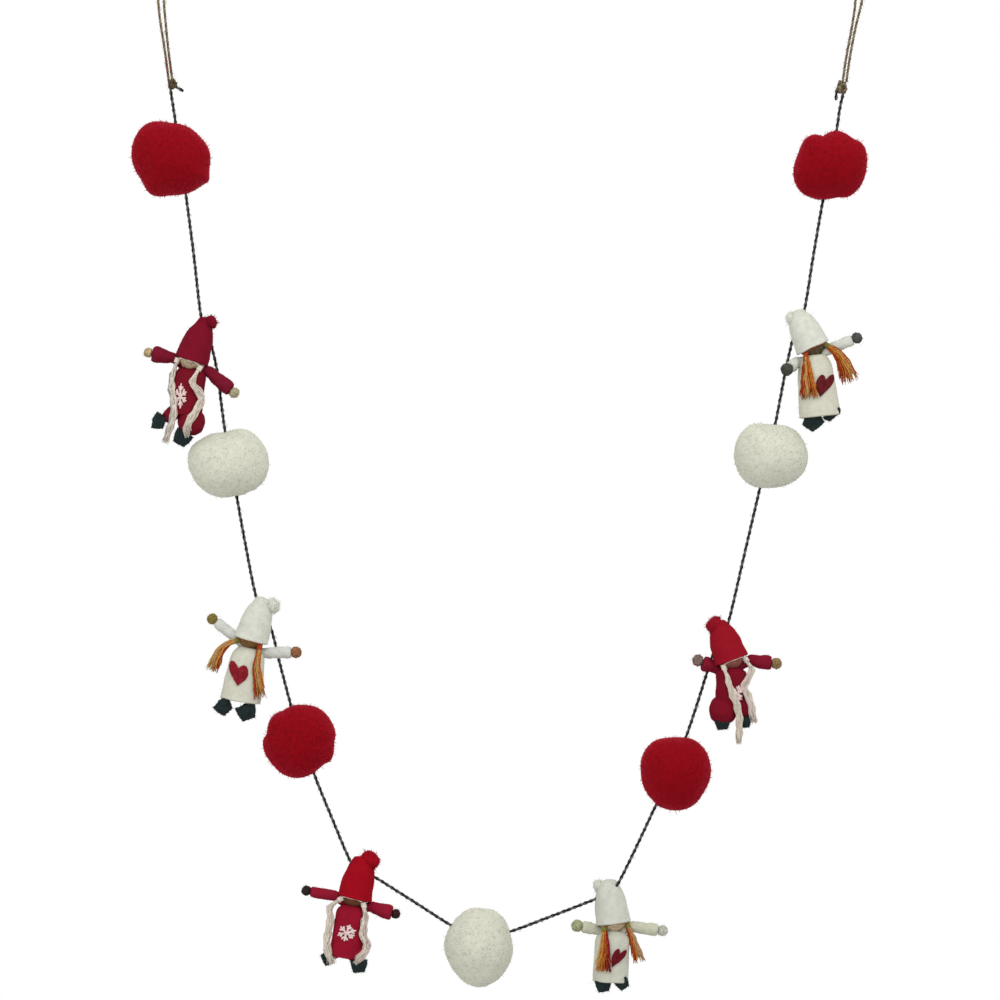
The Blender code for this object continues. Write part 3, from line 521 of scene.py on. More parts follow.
def add_pompom(shape, centre, outline, rng, detail, ends, spacing=PILE_SPACING):
    """A soft core under a brushed pile of short strands, with loose ends that stand out.
    spacing is from strand to strand, and ends from loose end to loose end."""
    centre, outline = np.asarray(centre, float), np.asarray(outline, float)
    size = np.mean(outline[:, 1])
    area = 4 * math.pi * size**2
    scale = spacing / PILE_SPACING
    drop = CORE_DROP * scale
    towards = ball_reach(outline, rng)
    ball = bmesh.new()
    bmesh.ops.create_icosphere(ball, subdivisions=detail, radius=1.0)
    directions, faces = emptied(ball)
    grain = rng.normal(0, CORE_GRAIN * scale, (len(directions), 1))
    shape.add(centre + directions * (towards(directions) - drop + grain), [faces])

    root = even_ways(int(area / spacing**2), rng)
    aside = unit(np.cross(root, rng.normal(0, 1, root.shape)))
    each = (len(root), 1)
    lean = PILE_LEAN * scale * rng.uniform(0.3, 1.0, each)
    top = towards(root) - drop * rng.uniform(-0.5, 1.1, each) - lean**2 / (2 * size)
    foot = root * (top - PILE_ROOT * scale) - 0.4 * aside * lean
    tip = root * top + aside * lean
    thick = PILE_RADIUS * scale * rng.uniform(0.8, 1.2, each) * PILE_TAPER
    shape.add(*tubes(centre + np.stack([foot, tip], axis=1), thick, sides=3))

    stray = even_ways(int(area / ends**2), rng)
    foot = stray * (towards(stray) - STRAY_ROOT)
    proud = STRAY_REACH * rng.uniform(-0.2, 1.0, (len(stray), 1))
    tip = stray * (towards(stray) + proud) + rng.normal(0, STRAY_SWAY, stray.shape)
    shape.add(*tubes(centre + np.stack([foot, tip], axis=1), STRAY_RADII, sides=3))


# Finishes


def linear(colour):
    """An sRGB colour as the linear one that the shaders take."""
    return [c / 12.92 if c <= 0.04045 else ((c + 0.055) / 1.055) ** 2.4 for c in colour]


def preset(node, inputs):
    """The node, with the values of its inputs set."""
    for name, value in inputs.items():
        node.inputs[name].default_value = value
    return node


def wool(name, light, dark, grain=1.6, fine=0.3, relief=0.5, sheen=0.15, tint=None, soft=0.0):
    """Matt fibres that wander between two sRGB colours. grain and fine are the patches' sizes, tint is the
    colour of the fuzz seen along the surface, and soft is how much light spreads among the fibres."""
    finish = bpy.data.materials.new(name)
    finish.use_nodes = True
    nodes, links = finish.node_tree.nodes, finish.node_tree.links
    place = nodes.new("ShaderNodeTexCoord")
    patches = preset(nodes.new("ShaderNodeTexNoise"), {"Scale": 1 / (grain * MM), "Detail": 4.0})
    fibres = preset(nodes.new("ShaderNodeTexNoise"), {"Scale": 1 / (fine * MM), "Detail": 5.0})
    bump = preset(nodes.new("ShaderNodeBump"), {"Strength": relief, "Distance": 0.2 * MM})
    colours = nodes.new("ShaderNodeValToRGB")
    for stop, position, colour in zip(colours.color_ramp.elements, (0.36, 0.62), (dark, light)):
        stop.position = position
        stop.color = (*linear(colour), 1.0)
    shader = preset(nodes["Principled BSDF"], {
        "Roughness": 0.9,
        "Specular IOR Level": 0.08,
        "Sheen Weight": sheen,
        "Sheen Roughness": 0.45,
        "Sheen Tint": (*linear(tint or light), 1.0),
        "Subsurface Weight": soft,
        "Subsurface Radius": (1.0, 1.0, 1.0),
        "Subsurface Scale": 2.0 * MM,
    })
    links.new(place.outputs["Object"], patches.inputs["Vector"])
    links.new(place.outputs["Object"], fibres.inputs["Vector"])
    links.new(patches.outputs["Fac"], colours.inputs["Fac"])
    links.new(colours.outputs["Color"], shader.inputs["Base Color"])
    links.new(fibres.outputs["Fac"], bump.inputs["Height"])
    links.new(bump.outputs["Normal"], shader.inputs["Normal"])
    return finish


def shade(colour, share):
    """The colour made darker, or lighter up to white."""
    return [min(1.0, share * c) for c in colour]


def yarn(name, colour, **looks):
    """Yarn of nearly one colour."""
    return wool(name, shade(colour, 1.015), shade(colour, 0.975), grain=3.5, relief=0.25, **looks)


def mottled(name, colour):
    """Thread wound up in a ball or sewn in a face."""
    return wool(name, shade(colour, 1.1), shade(colour, 0.78), grain=1.1, relief=0.8)


def felt(name, colour):
    return wool(name, shade(colour, 1.08), shade(colour, 0.86), grain=2.0, fine=0.5, relief=0.8)


def jute(name, light, dark):
    return wool(name, light, dark, grain=1.2, relief=0.9, sheen=0.1)


RED = yarn("Red yarn", (0.52, 0.01, 0.06), sheen=0.25, tint=(0.62, 0.01, 0.26), soft=0.5)
WHITE = yarn("White yarn", (0.77, 0.77, 0.71))
CORD_BLACK = wool("Black cotton", (0.16, 0.16, 0.155), (0.08, 0.08, 0.08), relief=0.7)
CORD_GREY = wool("Grey cotton", (0.42, 0.42, 0.40), (0.25, 0.25, 0.24), grain=1.0, relief=0.7)
TWINE_LIGHT = jute("Jute", (0.58, 0.52, 0.42), (0.42, 0.37, 0.28))
TWINE_DARK = jute("Dark jute", (0.40, 0.35, 0.26), (0.25, 0.22, 0.15))
TWINE_RED = jute("Reddish jute", (0.55, 0.34, 0.28), (0.40, 0.23, 0.18))
FELT_DARK = felt("Dark green felt", (0.125, 0.165, 0.165))
EMBROIDERY = wool("White embroidery", (0.89, 0.82, 0.80), (0.78, 0.64, 0.64), grain=1.0)
HAIR = {
    "cream": wool("Cream roving", (0.88, 0.84, 0.785), (0.81, 0.77, 0.71), grain=2.4),
    "blush": wool("Blush roving", (0.87, 0.81, 0.78), (0.80, 0.74, 0.71), grain=2.4),
    # painted shade: these grey strands darken the outer edge of the first doll's left lock, where shade
    # falls on its cream roving
    "grey": wool("Shade grey roving", (0.74, 0.735, 0.72), (0.66, 0.655, 0.65), grain=2.0),
    "orange": wool("Orange strands", (0.80, 0.49, 0.19), (0.66, 0.38, 0.12), grain=1.0),
    "rust": wool("Rust strands", (0.70, 0.29, 0.13), (0.54, 0.19, 0.09), grain=1.0),
    "straw": wool("Straw strands", (0.80, 0.66, 0.38), (0.66, 0.52, 0.28), grain=1.0),
    "tan": wool("Tan strands", (0.76, 0.60, 0.43), (0.62, 0.47, 0.33), grain=1.0),
    "olive": wool("Olive thread", (0.54, 0.50, 0.26), (0.40, 0.36, 0.16), grain=0.9),
    "wine": wool("Wine red strands", (0.58, 0.15, 0.15), (0.42, 0.08, 0.09), grain=1.0),
}

# Each doll's sRGB colours, its strands from the left to the right of each bunch and the threads round them
Looks = namedtuple("Looks", "hat dress sleeves face hands strands ties heart", defaults=(None,))
LOOKS = (
    Looks(
        hat=(0.44, 0.05, 0.13), dress=(0.43, 0.06, 0.12), sleeves=(0.43, 0.07, 0.15),
        face=(0.69, 0.61, 0.51), hands=((0.68, 0.60, 0.44), (0.64, 0.61, 0.49)),
        # the leftmost strands of the left bunch are grey, painted shade along the lock's outer edge
        strands=("grey cream cream", "cream cream"), ties=("cream", "cream"),
    ),
    Looks(
        hat=(0.775, 0.78, 0.735), dress=(0.755, 0.75, 0.69), sleeves=(0.755, 0.76, 0.73),
        face=(0.45, 0.34, 0.19), hands=((0.48, 0.42, 0.24), (0.54, 0.36, 0.25)),
        strands=("straw tan orange straw rust", "rust orange straw tan orange"), ties=("olive", "rust"),
        heart=(0.49, 0.10, 0.14),
    ),
    Looks(
        hat=(0.57, 0.02, 0.09), dress=(0.53, 0.06, 0.15), sleeves=(0.52, 0.08, 0.17),
        face=(0.40, 0.25, 0.17), hands=((0.17, 0.13, 0.13), (0.20, 0.12, 0.13)),
        strands=("cream cream", "cream blush"), ties=("cream", "cream"),
    ),
    Looks(
        hat=(0.755, 0.76, 0.715), dress=(0.735, 0.735, 0.68), sleeves=(0.72, 0.72, 0.64),
        face=(0.72, 0.64, 0.53), hands=((0.59, 0.60, 0.46), (0.70, 0.70, 0.65)),
        strands=("straw orange orange rust wine", "rust orange tan tan"), ties=("olive", "olive"),
        heart=(0.38, 0.065, 0.105),
    ),
    Looks(
        hat=(0.54, 0.06, 0.12), dress=(0.44, 0.05, 0.12), sleeves=(0.46, 0.07, 0.15),
        face=(0.54, 0.33, 0.29), hands=((0.47, 0.39, 0.36), (0.53, 0.43, 0.30)),
        strands=("cream cream", "blush cream"), ties=("cream", "blush"),
    ),
    Looks(
        hat=(0.775, 0.785, 0.735), dress=(0.755, 0.75, 0.685), sleeves=(0.76, 0.77, 0.73),
        face=(0.33, 0.28, 0.20), hands=((0.27, 0.27, 0.25), (0.29, 0.29, 0.28)),
        strands=("rust straw rust orange", "rust orange rust orange straw rust"), ties=("rust", "olive"),
        heart=(0.35, 0.10, 0.11),
    ),
)


# The cord, the twine loops and the knots


def plied(shape, route, diameter, pitch, paints):
    """Plies twisted round each other along a route, one for each paint. Returns the line they follow."""
    count = int(travel(route)[-1] / pitch * PLY_STATIONS)
    line = resample(route, count)
    out, across = ways_off(line)
    radius = PLY_SHARE * diameter / 2
    for ply, paint in enumerate(paints):
        turn = (math.tau * (np.arange(count) / PLY_STATIONS + ply / len(paints)))[:, None]
        aside = out * np.cos(turn) + across * np.sin(turn)
        centre = line + aside * (diameter / 2 - radius)
        shape.add(*tubes(centre[None], radius, sides=5, out=aside[None]), paint)
    return line


def loose_fibres(shape, line, radius, count, rng):
    """Short fibres that stand off a twisted cord, in its first finish."""
    along = unit(np.gradient(line, axis=0))
    picked = rng.integers(2, len(line) - 2, count)
    aside = unit(np.cross(along[picked], rng.normal(0, 1, (count, 3))))
    start = line[picked] + aside * radius * 0.7
    reach = rng.uniform(*FIBRE_REACH, (count, 1))
    middle = start + aside * 0.5 * reach + along[picked] * 0.5 * reach
    tip = middle + aside * 0.3 * reach + along[picked] * reach * rng.uniform(0.2, 1.0, (count, 1))
    shape.add(*tubes(np.stack([start, middle, tip], axis=1), FUZZ_RADIUS, sides=3))


def make_cord():
    shape = Shape()
    line = plied(shape, smooth(CORD_ROUTE, 10), CORD_DIAMETER, CORD_PITCH, (0, 1))
    loose_fibres(shape, line, CORD_DIAMETER / 2, CORD_FIBRES, np.random.default_rng(3))
    made = shape.piece("cord_plies", (CORD_BLACK, CORD_GREY), "cord")
    return made, line


def make_loop(side, top, table, reddish):
    """A loop of jute twine, with a reddish stretch between two heights where it has one."""
    shape = Shape()
    route = smooth([(top + x, 0.0, z) for x, z in table], 12)
    line = plied(shape, route, TWINE_DIAMETER, TWINE_PITCH, (0, 1, 0))
    loose_fibres(shape, line, TWINE_DIAMETER / 2, TWINE_FIBRES, np.random.default_rng(5))
    finishes = (TWINE_LIGHT, TWINE_DARK, TWINE_RED)
    made = shape.piece(f"twine_{side}", finishes, f"loop_{side}")
    if reddish:
        low, high = reddish
        for polygon in made.data.polygons:
            if polygon.material_index == 0 and low < polygon.center.z / MM < high:
                polygon.material_index = finishes.index(TWINE_RED)
    return made, line


def make_knot(knot):
    """Turns of twine drawn tight round the cord. The left knot's twine is the darker."""
    shape = Shape()
    rng = np.random.default_rng(7)
    reach = knot.width / 2 - KNOT_INSET
    angle = np.linspace(0, math.tau, 25)
    wave = KNOT_WAVE * knot.height * np.cos(2 * angle)
    for tilt, swing, share in KNOT_TURNS:
        ring = lean_by(joined(share * reach * np.cos(angle), share * reach * np.sin(angle), wave), tilt)
        turn = math.radians(swing)
        x = ring[:, 0] * math.cos(turn) - ring[:, 1] * math.sin(turn)
        y = ring[:, 0] * math.sin(turn) + ring[:, 1] * math.cos(turn)
        route = lean_by(joined(x, y, ring[:, 2] * KNOT_STRETCH), knot.lean)
        line = plied(shape, route, TWINE_DIAMETER * KNOT_SQUEEZE, TWINE_PITCH, (0, 1, 0))
        loose_fibres(shape, line, TWINE_DIAMETER / 2, KNOT_FIBRES, rng)
    main = TWINE_DARK if knot.x < HANG_SPAN / 2 else TWINE_LIGHT
    return shape.piece(knot.name + "_turns", (main, TWINE_DARK), knot.name, (knot.x, 0, knot.z))


def make_pompoms():
    """Red and white ones by turns."""
    for number, outline in enumerate(POMPOMS, 1):
        name = f"pompom_{number}"
        rng = np.random.default_rng(10 + number)
        finish, slot, ends = RED, "red_yarn", STRAY_SPACING
        if number % 2 == 0:
            finish, slot, ends = WHITE, "white_yarn", SPARSE_SPACING
        low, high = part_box(name)
        shape = Shape()
        add_pompom(shape, (0, 0, 0), outline, rng, detail=5, ends=ends)
        shape.piece(name + "_pile", (finish,), name, np.array((low + high) / 2) / MM)


# The dolls. Each is made round the middle of its hat's brim


def body_profile(gnome):
    """(radius, z) from the neck to the hem."""
    _, length, chest, hem = gnome.body
    return np.array((
        (0.5, 0.6 - NECK_DROP), (6.6, 0.3 - NECK_DROP), (9.0, -1.8 - NECK_DROP),
        (chest, -0.28 * length), (0.4 * chest + 0.6 * hem, -0.56 * length),
        (hem, -0.94 * length), (hem - HEM_ROLL, -length), (0.5, -length + 0.4),
    ))


def leg_points(leg):
    """Rows of x, y, z and radius down a stuffed trouser leg."""
    hip, ankle = np.array(leg.hip), np.array(leg.ankle)
    shares = ((0.0, 0.45), (0.12, 0.8), (0.35, 1.0), (0.65, 1.0), (0.9, 0.75), (1.0, 0.4))
    return np.array([(*(hip + (ankle - hip) * t), leg.radius * share) for t, share in shares])


def front(gnome, x, z, heart_too=False):
    """y of the front of the body, legs and shoes at places across and up, and of the heart if asked."""
    lean = math.radians(gnome.body.lean)
    across = x * math.cos(lean) - z * math.sin(lean)
    up = x * math.sin(lean) + z * math.cos(lean)
    profile = body_profile(gnome)
    radius = np.interp(-up, -profile[:, 1], profile[:, 0], left=0.0, right=0.0)
    reach = DEPTH * np.sqrt(np.maximum(radius**2 - across**2, 0))
    for leg in gnome.legs:
        for px, py, pz, size in resample(leg_points(leg), 12):
            over = size**2 - (x - px) ** 2 - (z - pz) ** 2
            reach = np.where(over > 0, np.maximum(reach, np.sqrt(np.maximum(over, 0)) - py), reach)
    for shoe in gnome.shoes:
        near = np.hypot(x - shoe.x, z - shoe.z) < max(shoe.width, shoe.height) / 2
        reach = np.where(near, np.maximum(reach, SHOE_DEPTH / 2 - shoe.y), reach)
    heart = gnome.heart
    if heart_too and heart:
        near = np.hypot((x - heart.x) / heart.width, (z - heart.z) / heart.height) < 0.55
        reach = np.where(near, reach + FELT_THICKNESS, reach)
    return -reach


def under_brim(gnome, turn, drop, radius=HAIRLINE_RADIUS):
    """A place under the brim, which leans with the hat. turn is in degrees from the face's middle."""
    turn = np.radians(gnome.face_turn + turn)
    level = joined(radius * np.sin(turn), -radius * np.cos(turn), -drop + 0 * turn)
    return lean_by(level, gnome.hat.lean)


def make_hat(name, gnome, rng, finish):
    """A pointed hat with a rolled brim and a fuzzy bobble."""
    hat = gnome.hat
    height, tip, brim = hat.height, hat.tip_radius, BRIM_RADIUS
    profile = (
        (0.5, 2.4), (brim - 2.0, 2.2), (brim - 1.2, 0.6), (brim - 0.2, -0.2), (brim + 0.5, 0.7),
        (brim + 0.2, 2.2), (0.05 * tip + 0.95 * brim, 0.25 * height),
        (0.2 * tip + 0.8 * brim, 0.46 * height), (0.55 * tip + 0.45 * brim, 0.68 * height),
        (0.95 * tip, height - 4.6), (0.72 * tip, height - 1.6), (0.5, height - 0.2),
    )
    shape = Shape()
    add_knit(shape, turned_ring(profile, hat.lean), HAT_COLUMNS, HAT_ROWS, rng, HAT_FUZZ)
    centre = lean_by(np.array([hat.bobble_x, 0.0, height - hat.bobble_drop]), hat.lean)
    degrees = 360 / BOBBLE_CORNERS * np.arange(BOBBLE_CORNERS)
    outline = joined(degrees, hat.bobble_radius * rng.uniform(0.84, 1.08, BOBBLE_CORNERS))
    add_pompom(shape, centre, outline, rng, detail=3, ends=BOBBLE_ENDS, spacing=BOBBLE_SPACING)
    shape.piece(name + "_knit_hat", (finish,), name + "_hat", gnome.place)


def make_head(name, gnome, rng, finish):
    angle = np.radians((-86, -60, -30, 0, 30, 60, 86))
    profile = joined(HEAD_RADIUS * np.cos(angle), HEAD_HEIGHT + HEAD_RADIUS * np.sin(angle))
    shape = Shape()
    add_knit(shape, turned_ring(profile, gnome.hat.lean), HEAD_COLUMNS, HEAD_ROWS, rng, HEAD_FUZZ)
    made = shape.piece(name + "_face", (finish,), name + "_head", gnome.place)


def make_body(name, gnome, rng, finish):
    """A dress, or a tunic with two stuffed trouser legs."""
    shape = Shape()
    ring = turned_ring(body_profile(gnome)[::-1], gnome.body.lean, depth=DEPTH)
    rows = int((gnome.body.length + BODY_END) / ROW_HEIGHT)
    add_knit(shape, ring, BODY_COLUMNS, rows, rng, BODY_FUZZ)
    for leg in gnome.legs:
        points = leg_points(leg)[::-1]
        columns = int(math.tau * leg.radius / COLUMN_WIDTH)
        rows = int(travel(points[:, :3])[-1] / ROW_HEIGHT) + LEG_END_ROWS
        add_knit(shape, swept_ring(points), columns, rows, rng, LEG_FUZZ)
    made = shape.piece(name + "_knit_body", (finish,), name + "_body", gnome.place)


def make_arms(name, gnome, rng, finish, skins):
    """Two knitted sleeves with rolled cuffs, and a wound ball for each hand."""
    shape = Shape()
    for paint, arm in enumerate(gnome.arms, 1):
        shoulder, hand = np.array(arm.shoulder), np.array(arm.hand)
        along = unit(hand - shoulder)
        cuff = np.linalg.norm(hand - shoulder) - arm.fist
        sleeve = np.array((
            (*(0.25 * shoulder + np.array([0, 1.1, -0.75 * SHOULDER_DROP])), 2.6),
            (*shoulder, SHOULDER_RADIUS),
            (*(shoulder + along * 0.4 * cuff), 0.5 * (SHOULDER_RADIUS + arm.sleeve)),
            (*(shoulder + along * 0.75 * cuff), arm.sleeve),
            (*(shoulder + along * (cuff - 0.8)), arm.sleeve * 0.95),
            (*(shoulder + along * (cuff + 0.4)), arm.sleeve * 0.72),
            (*(shoulder + along * (cuff + 0.5)), 0.8),
        ))
        columns = int(math.tau * arm.sleeve / COLUMN_WIDTH)
        rows = int(travel(sleeve[:, :3])[-1] / ROW_HEIGHT) + SLEEVE_END_ROWS
        add_knit(shape, swept_ring(sleeve), columns, rows, rng, SLEEVE_FUZZ)
        stations = np.linspace(0, 1, 7)
        start = hand - along * arm.fist * 0.95
        ball = start + along * arm.fist * 1.9 * stations[:, None]
        sizes = arm.fist * np.sqrt(np.maximum(1 - (1.96 * stations - 0.98) ** 2, 0.03))
        ring = swept_ring(np.column_stack([ball, sizes]))
        add_knit(shape, ring, max(8, int(columns * 0.9)), HAND_ROWS, rng, HAND_FUZZ, paint)
    made = shape.piece(name + "_sleeves", (finish, *skins), name + "_arms", gnome.place)


def add_tie(shape, centre, axis, paint):
    """A few turns of thread side by side round the top of a bunch."""
    axis = unit(np.asarray(axis, float))
    first = unit(np.cross(axis, [0.0, 1.0, 0.3]))
    second = np.cross(axis, first)
    angle = np.linspace(0, math.tau * TIE_TURNS, 18 * TIE_TURNS)[:, None]
    path = centre + TIE_RADIUS * (first * np.cos(angle) + second * np.sin(angle))
    path = path + axis * (angle / math.tau - TIE_TURNS / 2) * 1.7 * TIE_THREAD
    shape.add(*tubes(path[None], TIE_THREAD, sides=6), paint)


def bunch_line(tie, bunch):
    """The line that a bunch follows in the front view: x and z."""
    route = smooth(np.array([(tie[0], tie[2]), *bunch.route]))
    return np.vstack([route, route[-1] + unit(route[-1] - route[-2]) * BUNCH_END])


def roving_lay(full, at, share, fan):
    """How wide a lock of roving is along its strands, and their waves."""
    width = 0.45 * full * (0.6 + np.minimum(1, 3 * share) - 0.5 * np.maximum(0, share - 0.8) / 0.2)
    long_wave = 0.45 * np.sin(math.tau * (at / 9.5 + 0.8 * fan))
    return width, long_wave + 0.2 * np.sin(math.tau * (at / 4.7 + 3 * fan))


def pigtail_lay(full, at, share, deep, rng):
    """How wide a pigtail fans out along its strands, and their waves."""
    width = PIGTAIL_TOP + (full - PIGTAIL_TOP) * share**0.8
    sway = rng.uniform(0.1, 0.5, deep.shape)
    pace = rng.uniform(7, 16, deep.shape)
    return width, sway * np.sin(math.tau * (at / pace + 4 * deep))


def even_out(row):
    """The running mean of five values."""
    return np.convolve(np.pad(row, 2, "edge"), np.ones(5) / 5, "valid")


def add_bunch(shape, gnome, bunch, tie, rng, paints):
    """Loose strands that hang from a tie over the front. paints are their finishes, from left to right."""
    roving = gnome.suit == "red"
    route = bunch_line(tie, bunch)
    far = travel(route)
    count = (ROVING_STRANDS if roving else PIGTAIL_STRANDS) * bunch.locks
    share = np.linspace(0, 1, STRAND_STATIONS)
    at = rng.uniform(0.86 if roving else 0.78, 1.0, count)[:, None] * far[-1] * share
    middle = between(at, far, route)
    along = unit(np.gradient(middle, axis=1))
    aside = joined(-along[..., 1], along[..., 0])

    # fan is a strand's place from left to right, and deep from back to front
    fan = rng.uniform(-0.5, 0.5, (count, 1))
    deep = rng.uniform(0, 1, (count, 1))
    full = bunch.spread + 2 * bunch.radius
    width, wave = roving_lay(full, at, share, fan) if roving else pigtail_lay(full, at, share, deep, rng)
    fray = rng.normal(0, 0.6 if roving else 0.9, (count, 1)) * np.maximum(0, share - 0.75) * 4
    flat = middle + aside * (fan * width + wave + fray)[..., None]
    x, z = flat[..., 0], flat[..., 1]
    surface = front(gnome, x, z, heart_too=True)
    crown = 2.0 * bunch.radius * deep * np.sqrt(np.maximum(0, 1 - 3 * fan**2))
    y = np.minimum(surface, tie[1] + bunch.radius) - 0.6 - crown
    y = np.minimum(np.apply_along_axis(even_out, 1, y), surface - 0.4)
    y[:, 0] = tie[1] + rng.normal(0, 0.4, count)

    paths = joined(x, y, z)
    taper = np.interp(share, (0.0, 0.1, 0.85, 1.0), (0.8, 1.0, 1.0, 0.45))
    thick = (ROVING_RADIUS if roving else PIGTAIL_RADIUS) * rng.uniform(0.8, 1.15, (count, 1)) * taper
    place = (fan[:, 0] + 0.5 + rng.normal(0, 0.09, count)) * len(paints)
    paint = np.array(paints)[np.clip(place.astype(int), 0, len(paints) - 1)]
    for value in np.unique(paint):
        pick = paint == value
        shape.add(*tubes(paths[pick], thick[pick], sides=3, out=FRONT), int(value))


def add_hairline(shape, gnome, paint):
    """A few strands laid under the brim from tie to tie."""
    turn = np.linspace(-ROOT_TURN, ROOT_TURN, 15)
    sink = (ROOT_DROP - HAIRLINE_DROP) * np.abs(turn / ROOT_TURN) ** 3
    for strand in range(HAIRLINE_STRANDS):
        drop = HAIRLINE_DROP - 1.6 + 0.3 * strand + sink + 0.15 * np.sin(turn / 9 + strand)
        radius = HAIRLINE_RADIUS - 0.4 + 0.3 * math.sin(2.4 * strand)
        path = under_brim(gnome, turn, drop, radius)
        shape.add(*tubes(path[None], HAIRLINE_THREAD), paint)


def make_hair(name, gnome, rng, looks):
    """A hairline under the brim, the two bunches and the thread that ties each."""
    strands = [colours.split() for colours in looks.strands]
    names = sorted({*strands[0], *strands[1], *looks.ties})
    shape = Shape()
    add_hairline(shape, gnome, names.index(strands[1][0]))
    for side, bunch, colours, thread in zip((-1, 1), gnome.hair, strands, looks.ties):
        tie = under_brim(gnome, ROOT_TURN * side, ROOT_DROP)
        add_bunch(shape, gnome, bunch, tie, rng, [names.index(colour) for colour in colours])
        x, z = bunch_line(tie, bunch)[4]
        add_tie(shape, tie, (x - tie[0], 0.0, z - tie[2]), names.index(thread))
    finishes = [HAIR[colour] for colour in names]
    shape.piece(name + "_strands", finishes, name + "_hair", gnome.place)


def make_shoe(name, side, gnome, shoe, rng):
    """A felt boot that narrows to its sole, with a raised seam up its front and back."""
    cube = bmesh.new()
    bmesh.ops.create_cube(cube, size=2.0)
    bmesh.ops.subdivide_edges(cube, edges=cube.edges, cuts=11, use_grid_fill=True)
    points, faces = emptied(cube)
    normal = unit(points)
    points = SHOE_SQUARE * points + SHOE_ROUND * normal
    seam = SEAM_RISE * np.exp(-((points[:, :1] / SEAM_WIDTH) ** 2))
    taper = SHOE_SOLE + (1 - SHOE_SOLE) * (points[:, 2:] + 1) / 2
    points = points * np.column_stack([taper, taper, np.ones(len(points))]) * (1 + seam)
    points = points * np.array([shoe.width, SHOE_DEPTH, shoe.height]) / 2
    points += rng.normal(0, 0.09, points.shape)
    points[:, 2] += 0.35 * np.sin(points[:, 0] * 0.6 + 1.0)
    points = lean_by(points, shoe.roll)
    shape = Shape()
    shape.add(points, [faces])
    picked = rng.integers(0, len(points), SHOE_FUZZ)
    out = lean_by(normal, shoe.roll)[picked]
    reach = rng.uniform(0.3, 0.9, (SHOE_FUZZ, 1))
    tip = points[picked] + out * reach + rng.normal(0, 0.35, (SHOE_FUZZ, 3))
    shape.add(*tubes(np.stack([points[picked], tip], axis=1), FUZZ_RADIUS, sides=3))
    place = np.add(gnome.place, (shoe.x, shoe.y, shoe.z))
    shape.piece(f"{name}_boot_{side}", (FELT_DARK,), f"{name}_shoe_{side}", place)


def make_heart(name, gnome, rng, finish):
    """A felt heart that follows the dress, with its edge cut square."""
    heart = gnome.heart
    t = math.tau * np.arange(HEART_POINTS) / HEART_POINTS
    edge_x = np.sign(np.sin(t)) * np.abs(np.sin(t)) ** HEART_POINT / 2
    edge_z = (13 * np.cos(t) - 5 * np.cos(2 * t) - 2 * np.cos(3 * t) - np.cos(4 * t) + 2.5) / 29
    lean, tilt = math.radians(heart.lean), math.radians(heart.tilt)
    shares = (1.0, 1.02, 0.99, 0.93, 0.8, 0.6, 0.4, 0.2, 0.02)
    rises = (0.0, 0.36, 0.75, 0.9, 0.96, 1.0, 1.0, 1.0, 1.0)
    points = []
    for share, rise in zip(shares, rises):
        across, up = edge_x * heart.width * share, edge_z * heart.height * share
        x = heart.x + across * math.cos(tilt) + up * math.sin(lean)
        z = heart.z + up * math.cos(lean) + across * math.sin(tilt)
        points.append(joined(x, front(gnome, x, z) - FELT_THICKNESS * rise, z))
    points = np.array(points)
    points[1:] += rng.normal(0, 0.05, points[1:].shape)
    index = np.arange(points[..., 0].size).reshape(points.shape[:2])
    shape = Shape()
    shape.add(points, [net_faces(index)[:, ::-1], index[:1], index[-1:, ::-1]])
    shape.piece(name + "_felt_heart", (finish,), name + "_heart", gnome.place)


Flake = namedtuple("Flake", "x z width height turn")
FLAKES = {
    1: Flake(-6.8, -24.3, 9.6, 17.0, 8),
    3: Flake(-5.2, -22.9, 14.0, 11.8, 20),
    5: Flake(4.0, -22.5, 8.0, 12.4, 5),
}


def make_flake(name, gnome, flake, rng):
    """A six-armed snowflake of soft white thread on the chest, not quite even."""
    shape = Shape()
    lines = []
    for arm in range(6):
        turn = math.radians(60 * arm + flake.turn + rng.normal(0, 7))
        ahead = np.array([math.sin(turn), math.cos(turn)]) * rng.uniform(0.85, 1.05)
        aside = np.array([math.cos(turn), -math.sin(turn)])
        lines.append((np.zeros(2), ahead))
        for way in (-1, 1):
            lines.append((0.45 * ahead, 0.78 * ahead + rng.uniform(0.2, 0.34) * way * aside))
    for start, end in lines:
        flat = np.linspace(start, end, len(FLAKE_RADII)) * np.array([flake.width, flake.height]) / 2
        flat += rng.normal(0, 0.16, flat.shape)
        x, z = flake.x + flat[:, 0], flake.z + flat[:, 1]
        path = joined(x, front(gnome, x, z) - 0.4, z)
        shape.add(*tubes(path[None], FLAKE_RADII, sides=6))
    shape.piece(name + "_snowflake", (EMBROIDERY,), place=gnome.place)


def make_gnomes():
    for number, (gnome, looks) in enumerate(zip(GNOMES, LOOKS), 1):
        name = f"gnome_{number}"
        rng = np.random.default_rng(100 + number)
        hands = [mottled(f"{name} {side} hand", skin) for side, skin in zip(("left", "right"), looks.hands)]
        make_hat(name, gnome, rng, yarn(name + " hat", looks.hat))
        make_head(name, gnome, rng, mottled(name + " face", looks.face))
        make_body(name, gnome, rng, yarn(name + " dress", looks.dress))
        make_arms(name, gnome, rng, yarn(name + " sleeves", looks.sleeves), hands)
        make_hair(name, gnome, rng, looks)
        for side, shoe in zip("lr", gnome.shoes):
            make_shoe(name, side, gnome, shoe, rng)
        if gnome.heart:
            make_heart(name, gnome, rng, felt(name + " heart", looks.heart))
        if number in FLAKES:
            make_flake(name, gnome, FLAKES[number], rng)


# The room, the lights and the camera


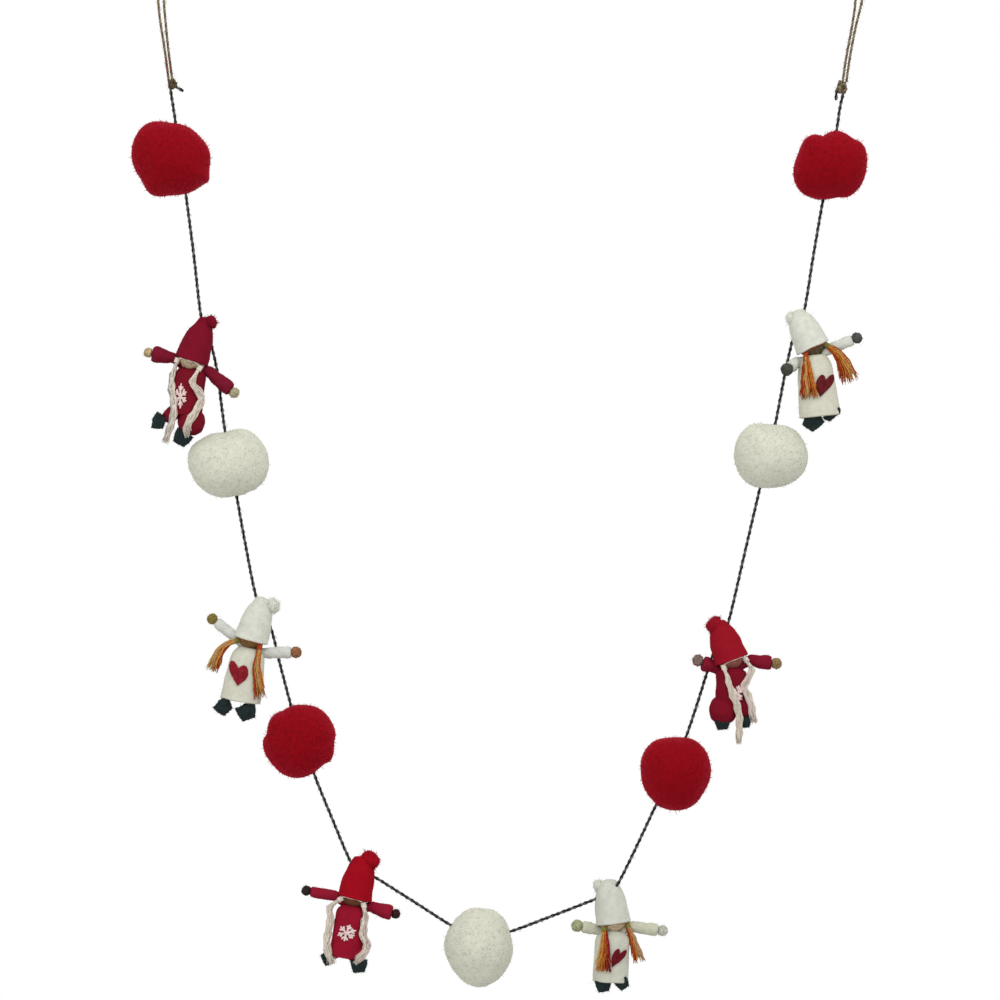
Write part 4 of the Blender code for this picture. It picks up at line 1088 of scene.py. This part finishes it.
def make_room():
    """Soft light from every side, before a plain white ground."""
    world = bpy.data.worlds.new("White room")
    world.use_nodes = True
    nodes, links = world.node_tree.nodes, world.node_tree.links
    white = (1.0, 1.0, 1.0, 1.0)
    room = preset(nodes["Background"], {"Color": white, "Strength": ROOM_STRENGTH})
    ground = preset(nodes.new("ShaderNodeBackground"), {"Color": white})
    seen = nodes.new("ShaderNodeLightPath")
    mix = nodes.new("ShaderNodeMixShader")
    links.new(seen.outputs["Is Camera Ray"], mix.inputs["Fac"])
    links.new(room.outputs["Background"], mix.inputs[1])
    links.new(ground.outputs["Background"], mix.inputs[2])
    links.new(mix.outputs["Shader"], nodes["World Output"].inputs["Surface"])
    bpy.context.scene.world = world


def make_light(name, place, size, power):
    """A square lamp that looks at the garland's middle."""
    data = bpy.data.lights.new(name, "AREA")
    data.size = size
    data.energy = power
    lamp = bpy.data.objects.new(name, data)
    bpy.context.scene.collection.objects.link(lamp)
    lamp.location = place
    lamp.rotation_euler = (Vector(LIGHT_AIM) - Vector(place)).to_track_quat("-Z", "Y").to_euler()


def make_camera():
    camera = bpy.data.cameras.new("Camera")
    camera.sensor_width = CAMERA_SENSOR
    camera.lens = CAMERA_SENSOR * CAMERA_DISTANCE / FRAME_WIDTH
    camera.clip_end = 20.0
    eye = bpy.data.objects.new("Camera", camera)
    bpy.context.scene.collection.objects.link(eye)
    eye.location = (FRAME_MIDDLE[0], -CAMERA_DISTANCE, FRAME_MIDDLE[1])
    eye.rotation_euler = (math.radians(90), 0.0, 0.0)
    bpy.context.scene.camera = eye


bpy.context.scene.view_settings.view_transform = "Standard"
make_room()
make_light("Key light", (0.9, -1.4, 1.2), size=1.6, power=24.0)
make_light("Fill light", (-1.2, -1.6, 0.0), size=1.5, power=10.0)
make_light("Back light", (0.2, 1.9, 0.5), size=1.6, power=12.0)
make_camera()

cord, cord_line = make_cord()
left_twine, left_line = make_loop("left", 0.0, LEFT_LOOP, (-78.0, -66.0))
right_twine, right_line = make_loop("right", HANG_SPAN, RIGHT_LOOP, None)
knots = [make_knot(knot) for knot in KNOTS]
make_pompoms()
make_gnomes()
